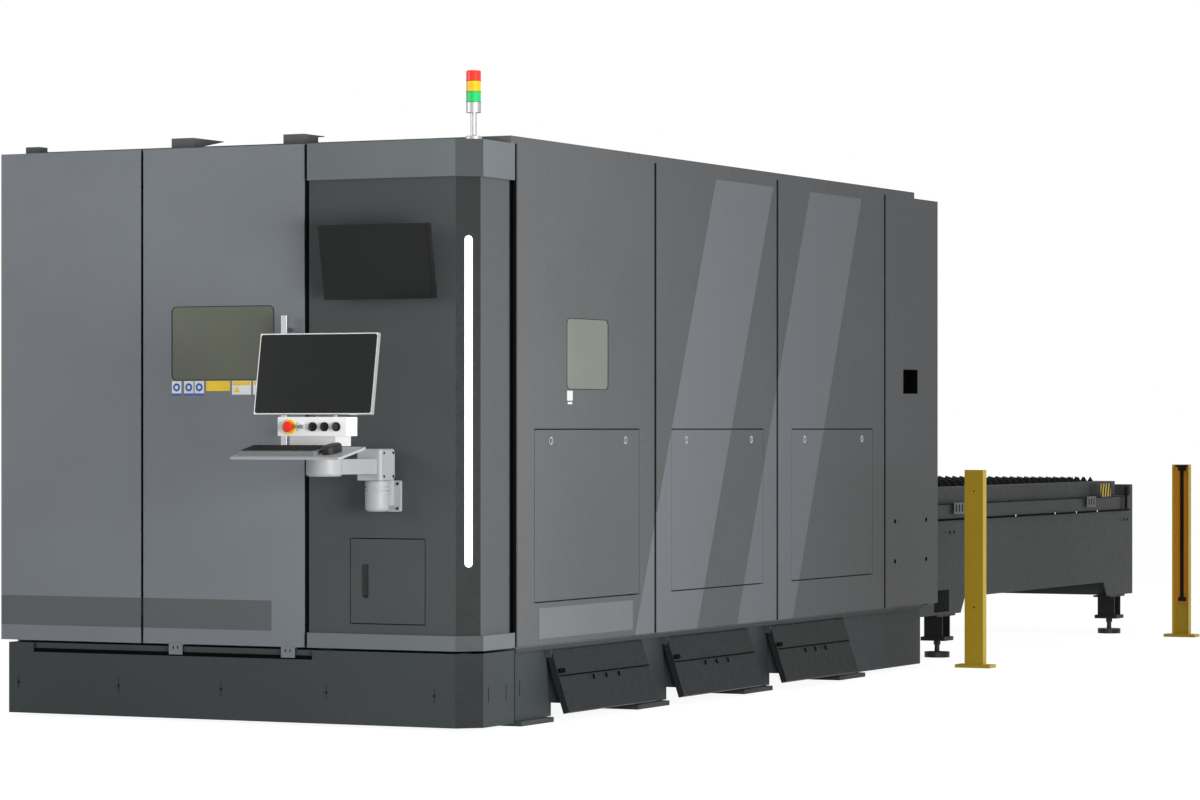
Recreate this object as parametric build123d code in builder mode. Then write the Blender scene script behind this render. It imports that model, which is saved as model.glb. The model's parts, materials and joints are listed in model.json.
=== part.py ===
from build123d import *
import os
from math import cos, radians, sin, sqrt, tan

# Fiber laser cutting machine with a pallet exchange table and two light curtain posts.
# Millimetres. The floor is z = 0. The operator stands in front, at -Y, the long side with the
# service hatches faces +X, and the exchange table stands behind the cabin, at +Y.

# Cabin
cabin_width = 2190
cabin_length = 4905
cabin_bottom = 310
cabin_top = 2296
roof_top = 2325
roof_start = 312
roof_end = 4592
roof_panel_count = 4
roof_joint = 6
sheet = 3
panel_fold = 22
frame_tube = 60
frame_wall = 3
frame_gap = 3

# Base under the cabin
base_top = 300
skirt_gap = 12
skirt_sheet = 4
flange_width = 130
foot_plate = 20
foot_plate_reach = 24
foot_plate_length = 312
foot_plate_shift = -43
anchor_radius = 9
base_setback = 12
base_wall = 10
base_cheek_depth = 130
base_length = 4700
rear_bar_height = 40
base_strip_gap = 4
skirt_left_setback = 38

# Console, the corner of the cabin that carries the operator's screens
console_width = 743
console_depth = 347
console_corner = 80
console_recess = 12
console_header = 145
console_footer = 59
console_inner_depth = 318
header_lip = 3
arm_axis_inset = 384

# Compartment in the console
compartment_width = 338
compartment_height = 338
compartment_bottom = 407
compartment_right_inset = 218
compartment_depth = 220
compartment_gap = 4
compartment_sheet = 2
door_fold = 15
pivot_inset = 12
pivot_radius = 3
pivot_length = 10
swing_handle_inset = 71
swing_handle_height = 137
swing_handle_width = 30
swing_handle_bottom = 507
swing_handle_pivot = 12

# Light strip on the console's corner
strip_width = 32
strip_bottom = 635
strip_top = 1922
strip_thickness = 4

# Sliding front door
door_gap = 17
door_width = 749
door_seam = 7
door_step = 8
door_depth = 40
door_travel = 630
window_inset = 136
window_width = 474
window_bottom = 1367
window_height = 293
window_radius = 20
glass_thickness = 5
glass_lap = 14
fit_gap = 0.5
handle_inset = 61
handle_bottom = 1100
handle_top = 1618
handle_width = 28
handle_depth = 14
handle_standoff = 42
bracket_width = 61
bracket_insets = (126, 647)
bracket_bottom = 268
bracket_sheet = 5
bracket_slot = 7
slot_bottom = 262
slot_end_gap = 20
rail_height = 22
rail_depth = 20
track_width = 30
track_height = 40
track_wall = 3
track_drop = 10

# Long side
side_start = 368
panel_pitch = 1286
panel_gap = 25
hatch_width = 970
hatch_bottom = 478
hatch_top = 1173
hatch_gap = 5
hatch_pivot = 10
lock_radius = 15
lock_drop = 49
lock_spacing = 686
lock_proud = 2.5
side_window_start = 805
side_window_width = 378
side_window_bottom = 1333
side_window_height = 286
side_window_radius = 30
port_start = 4447
port_width = 192
port_bottom = 1342
port_height = 118
port_depth = 60

# Slag flaps along the foot of the long side
flap_count = 3
flap_pitch = 1089
first_flap = 1071
flap_opening = 773
flap_shift = -16
flap_width = 839
flap_length = 246
flap_thickness = 27
flap_tilt = 18
flap_sheet = 3
flap_ledge = 100
flap_ledge_step = 5
hinge_height = 275
hinge_reach = 8
hinge_rod_radius = 5
hinge_barrel_radius = 9
running_gap = 0.1
hinge_lug = 8
hinge_side_gap = 2

# Bed inside the cabin
bed_width = 1740
beam_width = 130
bed_top = 1000
bed_front = 420
bed_back = 4850
bed_tube_height = 80
guide_width = 34
guide_height = 30
chute_high = 470
chute_low = 150
chute_cheek = 60

# Exchange table
table_length = 3650
table_width = 1750
table_sheet = 8
table_flange = 60
table_top = 700
table_bottom = 300
leg_bottom = 220
leg_length = 890
plate_slope = 60
pocket_start = 515
pocket_length = 210
pocket_bottom = 234
pocket_height = 112
guide_band_bottom = 710
guide_band_depth = 60
guide_end_gap = 40
stop_height = 850
stop_length = 46
leg_size = 100
leg_web = 10
leg_inset = 50
first_leg = 682
second_leg = 3383
leg_plate = 20
leg_plate_size = 130
leg_plate_bottom = 86
foot_radius = 65
foot_height = 28
foot_stem_radius = 13
foot_nut_radius = 19
foot_nut_height = 22

# Pallets
pallet_width = 1690
pallet_length = 3280
pallet_start = 145
pallet_travel = 3600
pallet_beam_height = 85
pallet_beam_width = 40
pallet_upper = 787
pallet_lower = 597
track_gap = 1
ledge_height = 30
slat_thickness = 4
slat_pitch = 102
slat_count = 30
slat_first = 110
slat_height = 99
slat_reach = 28
tooth_pitch = 44
tooth_height = 36

# Gantry and cutting head
gantry_start = 1150
gantry_depth = 220
gantry_height = 190
gantry_lift = 75
gantry_end_inset = 100
carriage_width = 240
carriage_height = 270
carriage_thickness = 40
linear_rail = 16
slide_gap = 1
head_width = 90
head_depth = 80
head_height = 230
nozzle_gap = 60
nozzle_radius = 25
nozzle_tip_radius = 4
nozzle_length = 70

# Laser source in the console
source_width = 480
source_depth = 230
source_height = 760

# Swinging arm with the operator's screen, in front of the console
arm_axis_reach = 75
arm_length = 410
arm_width = 74
arm_height = 58
arm_bottom = 998
wall_plate_width = 124
wall_plate_height = 122
wall_plate_thickness = 14
wall_post_radius = 47
wall_post_bottom = 850
wall_post_top = 970
groove_height = 949
groove_width = 26
groove_depth = 3
knuckle_bottom = 972
knuckle_top = 1095
knuckle_size = 112
elbow_radius = 69
elbow_top = 1063
elbow_gap = 1
tray_edge_reach = 300
tray_edge_height = 1066
tray_width = 478
tray_depth = 205
tray_thickness = 9
tray_tilt = 11
head_foot = 118
head_bracket_width = 198
head_bracket_bottom = 1107
box_width = 300
box_height = 72
box_depth = 80
box_bottom = 1145
box_face_reach = 92
spine_width = 80
spine_depth = 26
screen_width = 513
screen_height = 312
screen_thickness = 38
screen_tilt = 10
screen_gap = 10
tilt_pin_radius = 8

# Controls on the box, from left to right
control_spacing = 51
first_control = 52
control_height = 1180
bezel_radius = 16.5
bezel_height = 5
stop_ring_radius = 27
stop_button_radius = 20
control_stem_radius = 9
control_bore_gap = 0.5
control_bore_depth = 34
control_stem_length = 24
knob_radius = 13
knob_height = 14
knob_grip = 23

# Keyboard and mouse
keyboard_width = 336
keyboard_depth = 122
keyboard_height = 13
key_size = 14
key_pitch = 18
key_height = 4
key_columns = 18
key_rows = 6
mouse_width = 62
mouse_length = 104
mouse_height = 30

# Wall screen above the arm
wall_screen_width = 492
wall_screen_height = 292
wall_screen_thickness = 42
wall_screen_bottom = 1676
wall_screen_reach = 60
wall_screen_tilt = 10.5
wall_bracket_width = 150
bezel = 12
bezel_step = 2
screen_back_share = 0.72

# Tower light
tower_inset = 48
tower_setback = 90
tower_foot_radius = 33
tower_foot_height = 14
tower_pole_radius = 12
tower_pole_top = 2400
lamp_radius = 29
lamp_height = 41

# Roof hoods above the front
hood_insets = (2104, 1402, 881)
hood_widths = (66, 103, 96)
hood_heights = (30, 44, 44)
hood_lengths = (60, 232, 160)
hood_web_lengths = (60, 232, 110)
hood_tapered = (False, True, False)

# Light curtain posts
post_offset = 232
post_starts = (4795, 8050)
post_width = 96
post_depth = 48
post_wall = 4
post_height = 970
post_base_width = 182
post_base_depth = 90
post_base_thickness = 16
post_bolt_radius = 6
post_bolt_inset = 18
post_hole_heights = (297, 865)
post_hole_radius = 5
bar_width = 12
bar_depth = 30
bar_bottom = 217
bar_top = 943

# Places that follow from the sizes above
post_reach = post_offset + post_base_width / 2
right = (cabin_width - post_reach) / 2
left = right - cabin_width
middle = (left + right) / 2
tray_reach = arm_axis_reach + arm_length + tray_edge_reach
front = tray_reach - (tray_reach + cabin_length + table_length) / 2
back = front + cabin_length
table_end = back + table_length
console_left = right - console_width
console_back = front + console_depth
console_face = front + console_recess
header_bottom = cabin_top - console_header
footer_top = cabin_bottom + console_footer
arm_x = right - arm_axis_inset
arm_y = front - arm_axis_reach
elbow_y = arm_y - arm_length
door_right = console_left - door_gap
door_left = door_right - door_width
door_face = front + door_step
door_inside = door_face + door_depth


def block(x_low, x_high, y_low, y_high, z_low, z_high, mode=Mode.ADD):
    """Adds a box between two opposite corners to the piece that is being made."""
    center = ((x_low + x_high) / 2, (y_low + y_high) / 2, (z_low + z_high) / 2)
    with Locations(center):
        Box(x_high - x_low, y_high - y_low, z_high - z_low, mode=mode)


def upright(x, y, radius, z_low, z_high, mode=Mode.ADD):
    """Adds a vertical cylinder to the piece that is being made."""
    with Locations((x, y, (z_low + z_high) / 2)):
        Cylinder(radius, z_high - z_low, mode=mode)


def across(y, z, radius, x_low, x_high, mode=Mode.ADD):
    """Adds a cylinder that lies along X."""
    with Locations(Location(((x_low + x_high) / 2, y, z), (0, 90, 0))):
        Cylinder(radius, x_high - x_low, mode=mode)


def facing(x, z, radius, y_low, y_high, mode=Mode.ADD):
    """Adds a cylinder that lies along Y."""
    with Locations(Location((x, (y_low + y_high) / 2, z), (90, 0, 0))):
        Cylinder(radius, y_high - y_low, mode=mode)


def wrap_points(inset, x_start, y_end):
    """Plan of a face that runs along the front, round the console's corner and along the side."""
    bend = inset * tan(radians(22.5))
    return [
        (x_start, front + inset),
        (right - console_corner - bend, front + inset),
        (right - inset, front + console_corner + bend),
        (right - inset, y_end),
    ]


def wrap_sheet(inset, thickness, x_start, y_end, z_low, z_high):
    """Adds a sheet that follows the front, the console's corner and the side."""
    points = wrap_points(inset, x_start, y_end)
    points += reversed(wrap_points(inset + thickness, x_start, y_end))
    with BuildSketch(Plane.XY.offset(z_low)) as plan:
        with BuildLine():
            Polyline(*points, close=True)
        make_face()
    extrude(plan.sketch, amount=z_high - z_low)


def wrap_plate(inset, x_start, y_end, z_low, z_high):
    """Adds a level plate that fills the console's plan."""
    points = wrap_points(inset, x_start, y_end) + [(x_start, y_end)]
    with BuildSketch(Plane.XY.offset(z_low)) as plan:
        with BuildLine():
            Polyline(*points, close=True)
        make_face()
    extrude(plan.sketch, amount=z_high - z_low)


def profile_along_x(points, x_low, x_high):
    """Adds a prism along X from the (y, z) corners of its section."""
    with BuildSketch(Plane.YZ.offset(x_low)) as section:
        with BuildLine():
            Polyline(*points, close=True)
        make_face()
    extrude(section.sketch, amount=x_high - x_low)


def profile_along_y(points, y_low, y_high, mode=Mode.ADD):
    """Adds a prism along Y from the (x, z) corners of its section."""
    plane = Plane(origin=(0, y_low, 0), x_dir=(1, 0, 0), z_dir=(0, -1, 0))
    with BuildSketch(plane) as section:
        with BuildLine():
            Polyline(*points, close=True)
        make_face()
    extrude(section.sketch, amount=-(y_high - y_low), mode=mode)


def save(piece, name):
    """Labels a finished piece and writes it to its own file."""
    piece.part.label = name
    export_step(piece.part, f"parts/{name}.step")


os.makedirs("parts", exist_ok=True)


# Front plinth: a folded skirt under the door, notched at its top for the door's brackets
bracket_lefts = [door_left + inset for inset in bracket_insets]
notch_left = bracket_lefts[0] - door_travel - slot_end_gap
notch_right = bracket_lefts[1] + bracket_width + slot_end_gap + bracket_width
skirt_left = left + skirt_left_setback
rail_bottom = base_top - rail_height
rail_front = front + skirt_sheet + bracket_slot
rail_back = rail_front + rail_depth
slit_width = 5
slit_height = 60
slit_bottom = 106
slit_pitch = 483
slit_start = 45

with BuildPart() as front_plinth:
    wrap_sheet(0, skirt_sheet, skirt_left, console_back, skirt_gap, base_top)
    block(skirt_left, right - console_corner, front, front + flange_width,
          base_top - skirt_sheet, base_top)
    block(skirt_left, skirt_left + skirt_sheet, front, front + flange_width, skirt_gap, base_top)
    block(right - skirt_sheet - flange_width, right, console_back - skirt_sheet, console_back,
          skirt_gap, base_top)
    block(notch_left, notch_right, front, front + skirt_sheet, slot_bottom, base_top,
          mode=Mode.SUBTRACT)
    block(notch_left, notch_right, front, rail_back, rail_bottom, base_top, mode=Mode.SUBTRACT)
    slit_x = skirt_left + slit_start
    while slit_x < right - console_corner:
        block(slit_x, slit_x + slit_width, front, front + skirt_sheet / 2,
              slit_bottom, slit_bottom + slit_height, mode=Mode.SUBTRACT)
        slit_x += slit_pitch
save(front_plinth, "front_plinth")


# Flap places along the long side
flap_centers = [front + first_flap + index * flap_pitch for index in range(flap_count)]
hinge_centers = [center + flap_shift for center in flap_centers]
base_face = right - base_setback
hinge_x = right + hinge_reach
tilt = radians(flap_tilt)
base_start = console_back + hinge_lug
base_end = front + base_length
flap_back = flap_thickness - hinge_barrel_radius - 1


def foot_centers():
    """Places of the foot plates: one before, between and after the flaps."""
    centers = [flap_centers[0] - flap_pitch / 2]
    centers += [center + flap_pitch / 2 for center in flap_centers]
    return centers


# Right base: the welded wall under the long side, with three slag openings and anchored feet
with BuildPart() as right_base:
    block(base_face - base_wall, base_face, base_start, base_end, foot_plate, base_top)
    block(base_face - base_cheek_depth, base_face, base_start, base_end,
          base_top - base_wall, base_top)
    block(base_face - base_wall, right + 2, base_start, base_end,
          base_top - base_wall, cabin_bottom - base_strip_gap)
    for center in flap_centers:
        block(base_face - base_wall, base_face, center - flap_opening / 2,
              center + flap_opening / 2, 0, slot_bottom, mode=Mode.SUBTRACT)
    for center in flap_centers:
        for side in (-1, 1):
            edge = center + side * (flap_opening / 2 + base_wall / 2)
            block(base_face - base_cheek_depth, base_face, edge - base_wall / 2,
                  edge + base_wall / 2, foot_plate, base_top)
    for center in foot_centers():
        plate_center = center + foot_plate_shift
        block(base_face - base_cheek_depth, right + foot_plate_reach,
              max(plate_center - foot_plate_length / 2, base_start),
              plate_center + foot_plate_length / 2, 0, foot_plate)
    # Hinge lugs and rods of the flaps
    for center in hinge_centers:
        for side in (-1, 1):
            lug = center + side * (flap_width / 2 + hinge_side_gap + hinge_lug / 2)
            block(base_face, hinge_x + hinge_barrel_radius, lug - hinge_lug / 2,
                  lug + hinge_lug / 2, hinge_height - hinge_barrel_radius * 2, base_top - base_wall)
        facing(hinge_x, hinge_height, hinge_rod_radius,
               center - flap_width / 2 - hinge_side_gap, center + flap_width / 2 + hinge_side_gap)
    # Sloped gussets that the closed flaps lean on
    for center in flap_centers:
        gusset_gap = 0.5
        lean_x = hinge_x - (flap_back + gusset_gap) * cos(tilt)
        lean_z = hinge_height - (flap_back + gusset_gap) * sin(tilt)
        gusset_run = flap_length - 4 * base_wall
        low_x = lean_x + gusset_run * sin(tilt)
        low_z = lean_z - gusset_run * cos(tilt)
        top_z = lean_z - (base_wall / 2) * cos(tilt)
        top_x = lean_x + (base_wall / 2) * sin(tilt)
        corners = [(base_face - 1, top_z), (top_x, top_z), (low_x, low_z), (base_face - 1, low_z)]
        for side in (-1, 1):
            edge = center + side * (flap_opening / 2 + base_wall / 2)
            profile_along_y(corners, edge - base_wall / 2, edge + base_wall / 2)
    # Floor anchor holes in each foot plate, behind the wall
    for center in foot_centers():
        for side in (-1, 1):
            upright(base_face - base_cheek_depth / 2,
                    center + foot_plate_shift + side * foot_plate_length / 4,
                    anchor_radius, 0, foot_plate, mode=Mode.SUBTRACT)
save(right_base, "right_base")


# Left base: the same wall without openings
left_face = left + base_setback
with BuildPart() as left_base:
    block(left_face, left_face + base_wall, front + flange_width, base_end, foot_plate, base_top)
    block(left_face, left_face + base_cheek_depth, front + flange_width, base_end,
          base_top - base_wall, base_top)
    for center in foot_centers():
        plate_center = center + foot_plate_shift
        block(left, left_face + base_cheek_depth, plate_center - foot_plate_length / 2,
              plate_center + foot_plate_length / 2, 0, foot_plate)
save(left_base, "left_base")


# Rear base: a low bar and a top flange joined by two posts, open between them
with BuildPart() as rear_base:
    block(left_face + base_cheek_depth, base_face - base_cheek_depth, base_end - base_wall,
          base_end, foot_plate, foot_plate + rear_bar_height)
    block(left_face + base_cheek_depth, base_face - base_cheek_depth, base_end - flange_width,
          base_end, base_top - base_wall, base_top)
    for side in (-1, 1):
        foot_x = middle + side * bed_width / 4
        block(foot_x - foot_plate_length / 4, foot_x + foot_plate_length / 4,
              base_end - flange_width, base_end, 0, foot_plate)
        block(foot_x - base_wall, foot_x + base_wall, base_end - base_wall, base_end,
              foot_plate, base_top)
save(rear_base, "rear_base")


# Machine bed: two box beams, cross tubes, linear guides and the ledges the pallets run on
bed_sides = (-1, 1)
beam_inner = bed_width / 2
beam_outer = beam_inner + beam_width
bed_wall = 10


def signed_block(side, reach_low, reach_high, y_low, y_high, z_low, z_high, mode=Mode.ADD):
    """Adds a box on one side of the middle plane, between two distances from it."""
    ends = sorted((middle + side * reach_low, middle + side * reach_high))
    block(ends[0], ends[1], y_low, y_high, z_low, z_high, mode=mode)


bed_y_low = front + bed_front
bed_y_high = front + bed_back
with BuildPart() as machine_bed:
    for side in bed_sides:
        signed_block(side, beam_inner, beam_outer, bed_y_low, bed_y_high, base_top, bed_top)
        signed_block(side, beam_inner + bed_wall, beam_outer - bed_wall, bed_y_low, bed_y_high,
                     base_top + bed_wall, bed_top - bed_wall, mode=Mode.SUBTRACT)
    for center in foot_centers():
        tube_low = max(center - (flap_pitch - flap_opening) / 2, bed_y_low)
        tube_high = min(center + (flap_pitch - flap_opening) / 2, bed_y_high)
        block(middle - beam_inner, middle + beam_inner, tube_low, tube_high,
              base_top, base_top + bed_tube_height)
    for side in bed_sides:
        guide_center = (beam_inner + beam_outer) / 2
        signed_block(side, guide_center - guide_width / 2, guide_center + guide_width / 2,
                     bed_y_low, bed_y_high, bed_top, bed_top + guide_height)
        for level in (pallet_upper, pallet_lower):
            signed_block(side, pallet_width / 2 - pallet_beam_width, beam_inner, bed_y_low,
                         bed_y_high, level - track_gap - ledge_height, level - track_gap)
save(machine_bed, "machine_bed")


# Slag chutes: sloped trays that lead from the pallets to the flap openings
chute_left = middle - beam_inner
chute_right = base_face - base_cheek_depth
chute_edge = flap_opening / 2
with BuildPart() as slag_chutes:
    for center in flap_centers:
        floor_points = [(chute_left, chute_high), (chute_right, chute_low),
                        (chute_right, chute_low - sheet), (chute_left, chute_high - sheet)]
        profile_along_y(floor_points, center - chute_edge, center + chute_edge)
        cheek_points = [(chute_left, chute_high + chute_cheek), (chute_right, chute_low + chute_cheek),
                        (chute_right, chute_low), (chute_left, chute_high)]
        profile_along_y(cheek_points, center - chute_edge, center - chute_edge + sheet)
        profile_along_y(cheek_points, center + chute_edge - sheet, center + chute_edge)
save(slag_chutes, "slag_chutes")


# Cabin frame: square tube posts behind the panel joints, with rails and cross rails at the top
side_joints = [front + side_start + index * panel_pitch - panel_gap / 2 for index in range(1, 4)]
post_ys = [console_back + frame_gap + frame_tube / 2] + side_joints
post_ys += [back - sheet - frame_gap - frame_tube / 2]
post_outer = cabin_width / 2 - panel_fold - frame_gap
post_inner = post_outer - frame_tube
frame_top = cabin_top - frame_gap
front_post_y = door_inside + track_width + frame_gap + frame_tube / 2
door_post_x = console_left + frame_tube / 2 + sheet + frame_gap
left_front_x = middle - (post_inner + post_outer) / 2

with BuildPart() as cabin_frame:
    for y in post_ys:
        for side in bed_sides:
            signed_block(side, post_inner, post_outer, y - frame_tube / 2, y + frame_tube / 2,
                         base_top, frame_top)
        signed_block(1, -post_inner, post_inner, y - frame_tube / 2, y + frame_tube / 2,
                     frame_top - frame_tube, frame_top)
    for side in bed_sides:
        signed_block(side, post_inner, post_outer, post_ys[0], post_ys[-1],
                     frame_top - frame_tube, frame_top)
    # Posts and header of the doorway
    for x in (left_front_x, door_post_x):
        block(x - frame_tube / 2, x + frame_tube / 2, front_post_y - frame_tube / 2,
              front_post_y + frame_tube / 2, base_top, frame_top)
        block(x - frame_tube / 2, x + frame_tube / 2, front_post_y, post_ys[0],
              frame_top - frame_tube, frame_top)
    block(left_front_x, door_post_x, front_post_y - frame_tube / 2,
          front_post_y + frame_tube / 2, frame_top - frame_tube, frame_top)
    # The tubes are hollow and open at their feet
    core = frame_tube / 2 - frame_wall
    for y in post_ys:
        for side in bed_sides:
            signed_block(side, post_inner + frame_wall, post_outer - frame_wall,
                         y - core, y + core, base_top, frame_top - frame_wall,
                         mode=Mode.SUBTRACT)
        signed_block(1, -post_inner, post_inner, y - core, y + core,
                     frame_top - frame_tube + frame_wall, frame_top - frame_wall,
                     mode=Mode.SUBTRACT)
    for x in (left_front_x, door_post_x):
        block(x - core, x + core, front_post_y - core, front_post_y + core,
              base_top, frame_top - frame_wall, mode=Mode.SUBTRACT)
save(cabin_frame, "cabin_frame")


# Roof: four folded covers, the cover of the rear section, and three hoods at the front
roof_pitch = (roof_end - roof_start) / roof_panel_count
with BuildPart() as roof_panels:
    for index in range(roof_panel_count):
        y_low = front + roof_start + index * roof_pitch
        y_high = y_low + roof_pitch - (roof_joint if index < roof_panel_count - 1 else 0)
        block(left, right, y_low, y_high, cabin_top, roof_top)
        block(left + sheet, right - sheet, y_low + sheet, y_high - sheet, cabin_top,
              roof_top - sheet, mode=Mode.SUBTRACT)
    block(left + panel_fold, console_left, door_inside + frame_gap,
          front + roof_start + panel_fold, cabin_top - frame_gap, cabin_top)
    block(left + panel_fold, right - panel_fold, front + roof_end - panel_fold, back - sheet,
          cabin_top - frame_gap, cabin_top)
    for index, inset in enumerate(hood_insets):
        x_low = right - inset
        x_high = x_low + hood_widths[index]
        y_low = door_inside + frame_gap
        hood_top = cabin_top + hood_heights[index]
        block(x_low, x_high, y_low, y_low + sheet, cabin_top, hood_top)
        block(x_low, x_high, y_low, y_low + hood_lengths[index], hood_top - sheet, hood_top)
        # Side webs, cut back to a point where the hood is tapered
        web_end = y_low + hood_web_lengths[index]
        web = [(y_low, cabin_top), (y_low, hood_top), (web_end, hood_top)]
        if hood_tapered[index]:
            web.append((web_end, hood_top - sheet))
        else:
            web.append((web_end, cabin_top))
        for side_x in (x_low, x_high - sheet):
            profile_along_x(web, side_x, side_x + sheet)
save(roof_panels, "roof_panels")


# Long side: four folded panels. Three of them have an opening for a service hatch
panel_lows = [front + side_start + index * panel_pitch for index in range(4)]
panel_highs = [low + panel_pitch - panel_gap for low in panel_lows[:3]] + [back]
hatch_centers = [(low + high) / 2 for low, high in zip(panel_lows[:3], panel_highs[:3])]
side_window_y = front + side_window_start
port_y = front + port_start


def side_panel(y_low, y_high):
    """Adds one folded panel of the long side."""
    block(right - panel_fold, right, y_low, y_high, cabin_bottom, cabin_top)
    block(right - panel_fold, right - sheet, y_low + sheet, y_high - sheet,
          cabin_bottom + sheet, cabin_top - sheet, mode=Mode.SUBTRACT)


for index in range(4):
    with BuildPart() as panel:
        side_panel(panel_lows[index], panel_highs[index])
        if index < 3:
            block(right - panel_fold, right, hatch_centers[index] - hatch_width / 2,
                  hatch_centers[index] + hatch_width / 2, hatch_bottom, hatch_top,
                  mode=Mode.SUBTRACT)
            # Pivot studs for the foot of the hatch
            for side in (-1, 1):
                stud = hatch_centers[index] + side * (hatch_width / 2 - hatch_gap)
                ends = sorted((stud + side * hatch_gap, stud - side * 2 * hatch_gap))
                facing(right - hatch_pivot, hatch_bottom + hatch_gap + hatch_pivot,
                       hinge_rod_radius, ends[0], ends[1])
                lug = stud + side * 1.5 * hatch_gap
                block(right - panel_fold, right - sheet, lug - hatch_gap / 2, lug + hatch_gap / 2,
                      hatch_bottom, hatch_bottom + 3 * hatch_pivot)
        if index == 0:
            middle_y = side_window_y + side_window_width / 2
            middle_z = side_window_bottom + side_window_height / 2
            plane = Plane(origin=(right, middle_y, middle_z), x_dir=(0, 1, 0), z_dir=(1, 0, 0))
            with BuildSketch(plane):
                RectangleRounded(side_window_width, side_window_height, side_window_radius)
            extrude(amount=-sheet, mode=Mode.SUBTRACT)
        if index == 3:
            block(right - sheet, right, port_y, port_y + port_width, port_bottom,
                  port_bottom + port_height, mode=Mode.SUBTRACT)
            block(right - port_depth, right - sheet, port_y - sheet, port_y + port_width + sheet,
                  port_bottom - sheet, port_bottom + port_height + sheet)
            block(right - port_depth + sheet, right, port_y, port_y + port_width,
                  port_bottom, port_bottom + port_height, mode=Mode.SUBTRACT)
    save(panel, f"side_panel_{index + 1}")


# Window in the long side: a pane that fills the cut-out, with a flange behind the sheet
with BuildPart() as side_window:
    middle_y = side_window_y + side_window_width / 2
    middle_z = side_window_bottom + side_window_height / 2
    plane = Plane(origin=(right, middle_y, middle_z), x_dir=(0, 1, 0), z_dir=(1, 0, 0))
    with BuildSketch(plane.offset(-1)):
        RectangleRounded(side_window_width - 2 * fit_gap, side_window_height - 2 * fit_gap,
                         side_window_radius - fit_gap)
    extrude(amount=-glass_thickness)
    with BuildSketch(plane.offset(-sheet)):
        RectangleRounded(side_window_width + 2 * glass_lap, side_window_height + 2 * glass_lap,
                         side_window_radius)
    extrude(amount=-glass_thickness)
save(side_window, "side_window")


# Service hatches: folded doors that tilt outward about their foot, each with two round locks
for index, center in enumerate(hatch_centers):
    low_y = center - hatch_width / 2 + hatch_gap
    high_y = center + hatch_width / 2 - hatch_gap
    low_z = hatch_bottom + hatch_gap
    high_z = hatch_top - hatch_gap
    with BuildPart() as hatch:
        block(right - panel_fold + sheet, right, low_y, high_y, low_z, high_z)
        block(right - panel_fold + sheet, right - sheet, low_y + sheet, high_y - sheet,
              low_z + sheet, high_z - sheet, mode=Mode.SUBTRACT)
        facing(right - hatch_pivot, low_z + hatch_pivot, hinge_rod_radius + running_gap,
               low_y, high_y, mode=Mode.SUBTRACT)
        for side in (-1, 1):
            lock_y = center + side * lock_spacing / 2
            lock_z = hatch_top - lock_drop
            with Locations(Location((right, lock_y, lock_z), (0, 90, 0))):
                Cylinder(lock_radius, 2 * lock_proud)
                Cylinder(lock_radius / 2, panel_fold * 2)
            block(right + lock_proud, right + panel_fold, lock_y - lock_radius,
                  lock_y + lock_radius, lock_z - lock_radius, lock_z + lock_radius,
                  mode=Mode.SUBTRACT)
            block(right + lock_proud / 2, right + lock_proud, lock_y - lock_radius / 8,
                  lock_y + lock_radius / 8, lock_z - lock_radius / 2, lock_z + lock_radius / 2,
                  mode=Mode.SUBTRACT)
    save(hatch, f"service_hatch_{index + 1}")


# Left side, hidden in use: four plain folded panels
with BuildPart() as left_wall_panels:
    lows = [front + sheet + door_seam] + panel_lows[1:]
    for y_low, y_high in zip(lows, panel_highs):
        block(left, left + panel_fold, y_low, y_high, cabin_bottom, cabin_top)
        block(left + sheet, left + panel_fold, y_low + sheet, y_high - sheet,
              cabin_bottom + sheet, cabin_top - sheet, mode=Mode.SUBTRACT)
save(left_wall_panels, "left_wall_panels")


# Rear wall with the opening that the pallets pass through
opening_half = table_width / 2 + sheet
opening_low = pallet_lower - 2 * ledge_height
opening_high = pallet_upper + slat_height + 3 * tooth_height
with BuildPart() as rear_wall:
    block(left + panel_fold, right - panel_fold, back - sheet, back, base_top, cabin_top - sheet)
    block(left + panel_fold, right - panel_fold, back - sheet, back + panel_fold / 2,
          cabin_top - panel_fold, cabin_top - sheet)
    block(middle - opening_half, middle + opening_half, back - sheet, back,
          opening_low, opening_high, mode=Mode.SUBTRACT)
    block(middle - opening_half - sheet, middle + opening_half + sheet, back, back + panel_fold,
          opening_high, opening_high + sheet)
save(rear_wall, "rear_wall")


# Fixed panel left of the door: a flat sheet that the door slides behind
with BuildPart() as front_left_panel:
    block(left, door_left - door_seam, front, front + sheet, cabin_bottom, cabin_top)
    block(left, left + sheet, front, front + door_seam, cabin_bottom, cabin_top)
save(front_left_panel, "front_left_panel")


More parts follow.
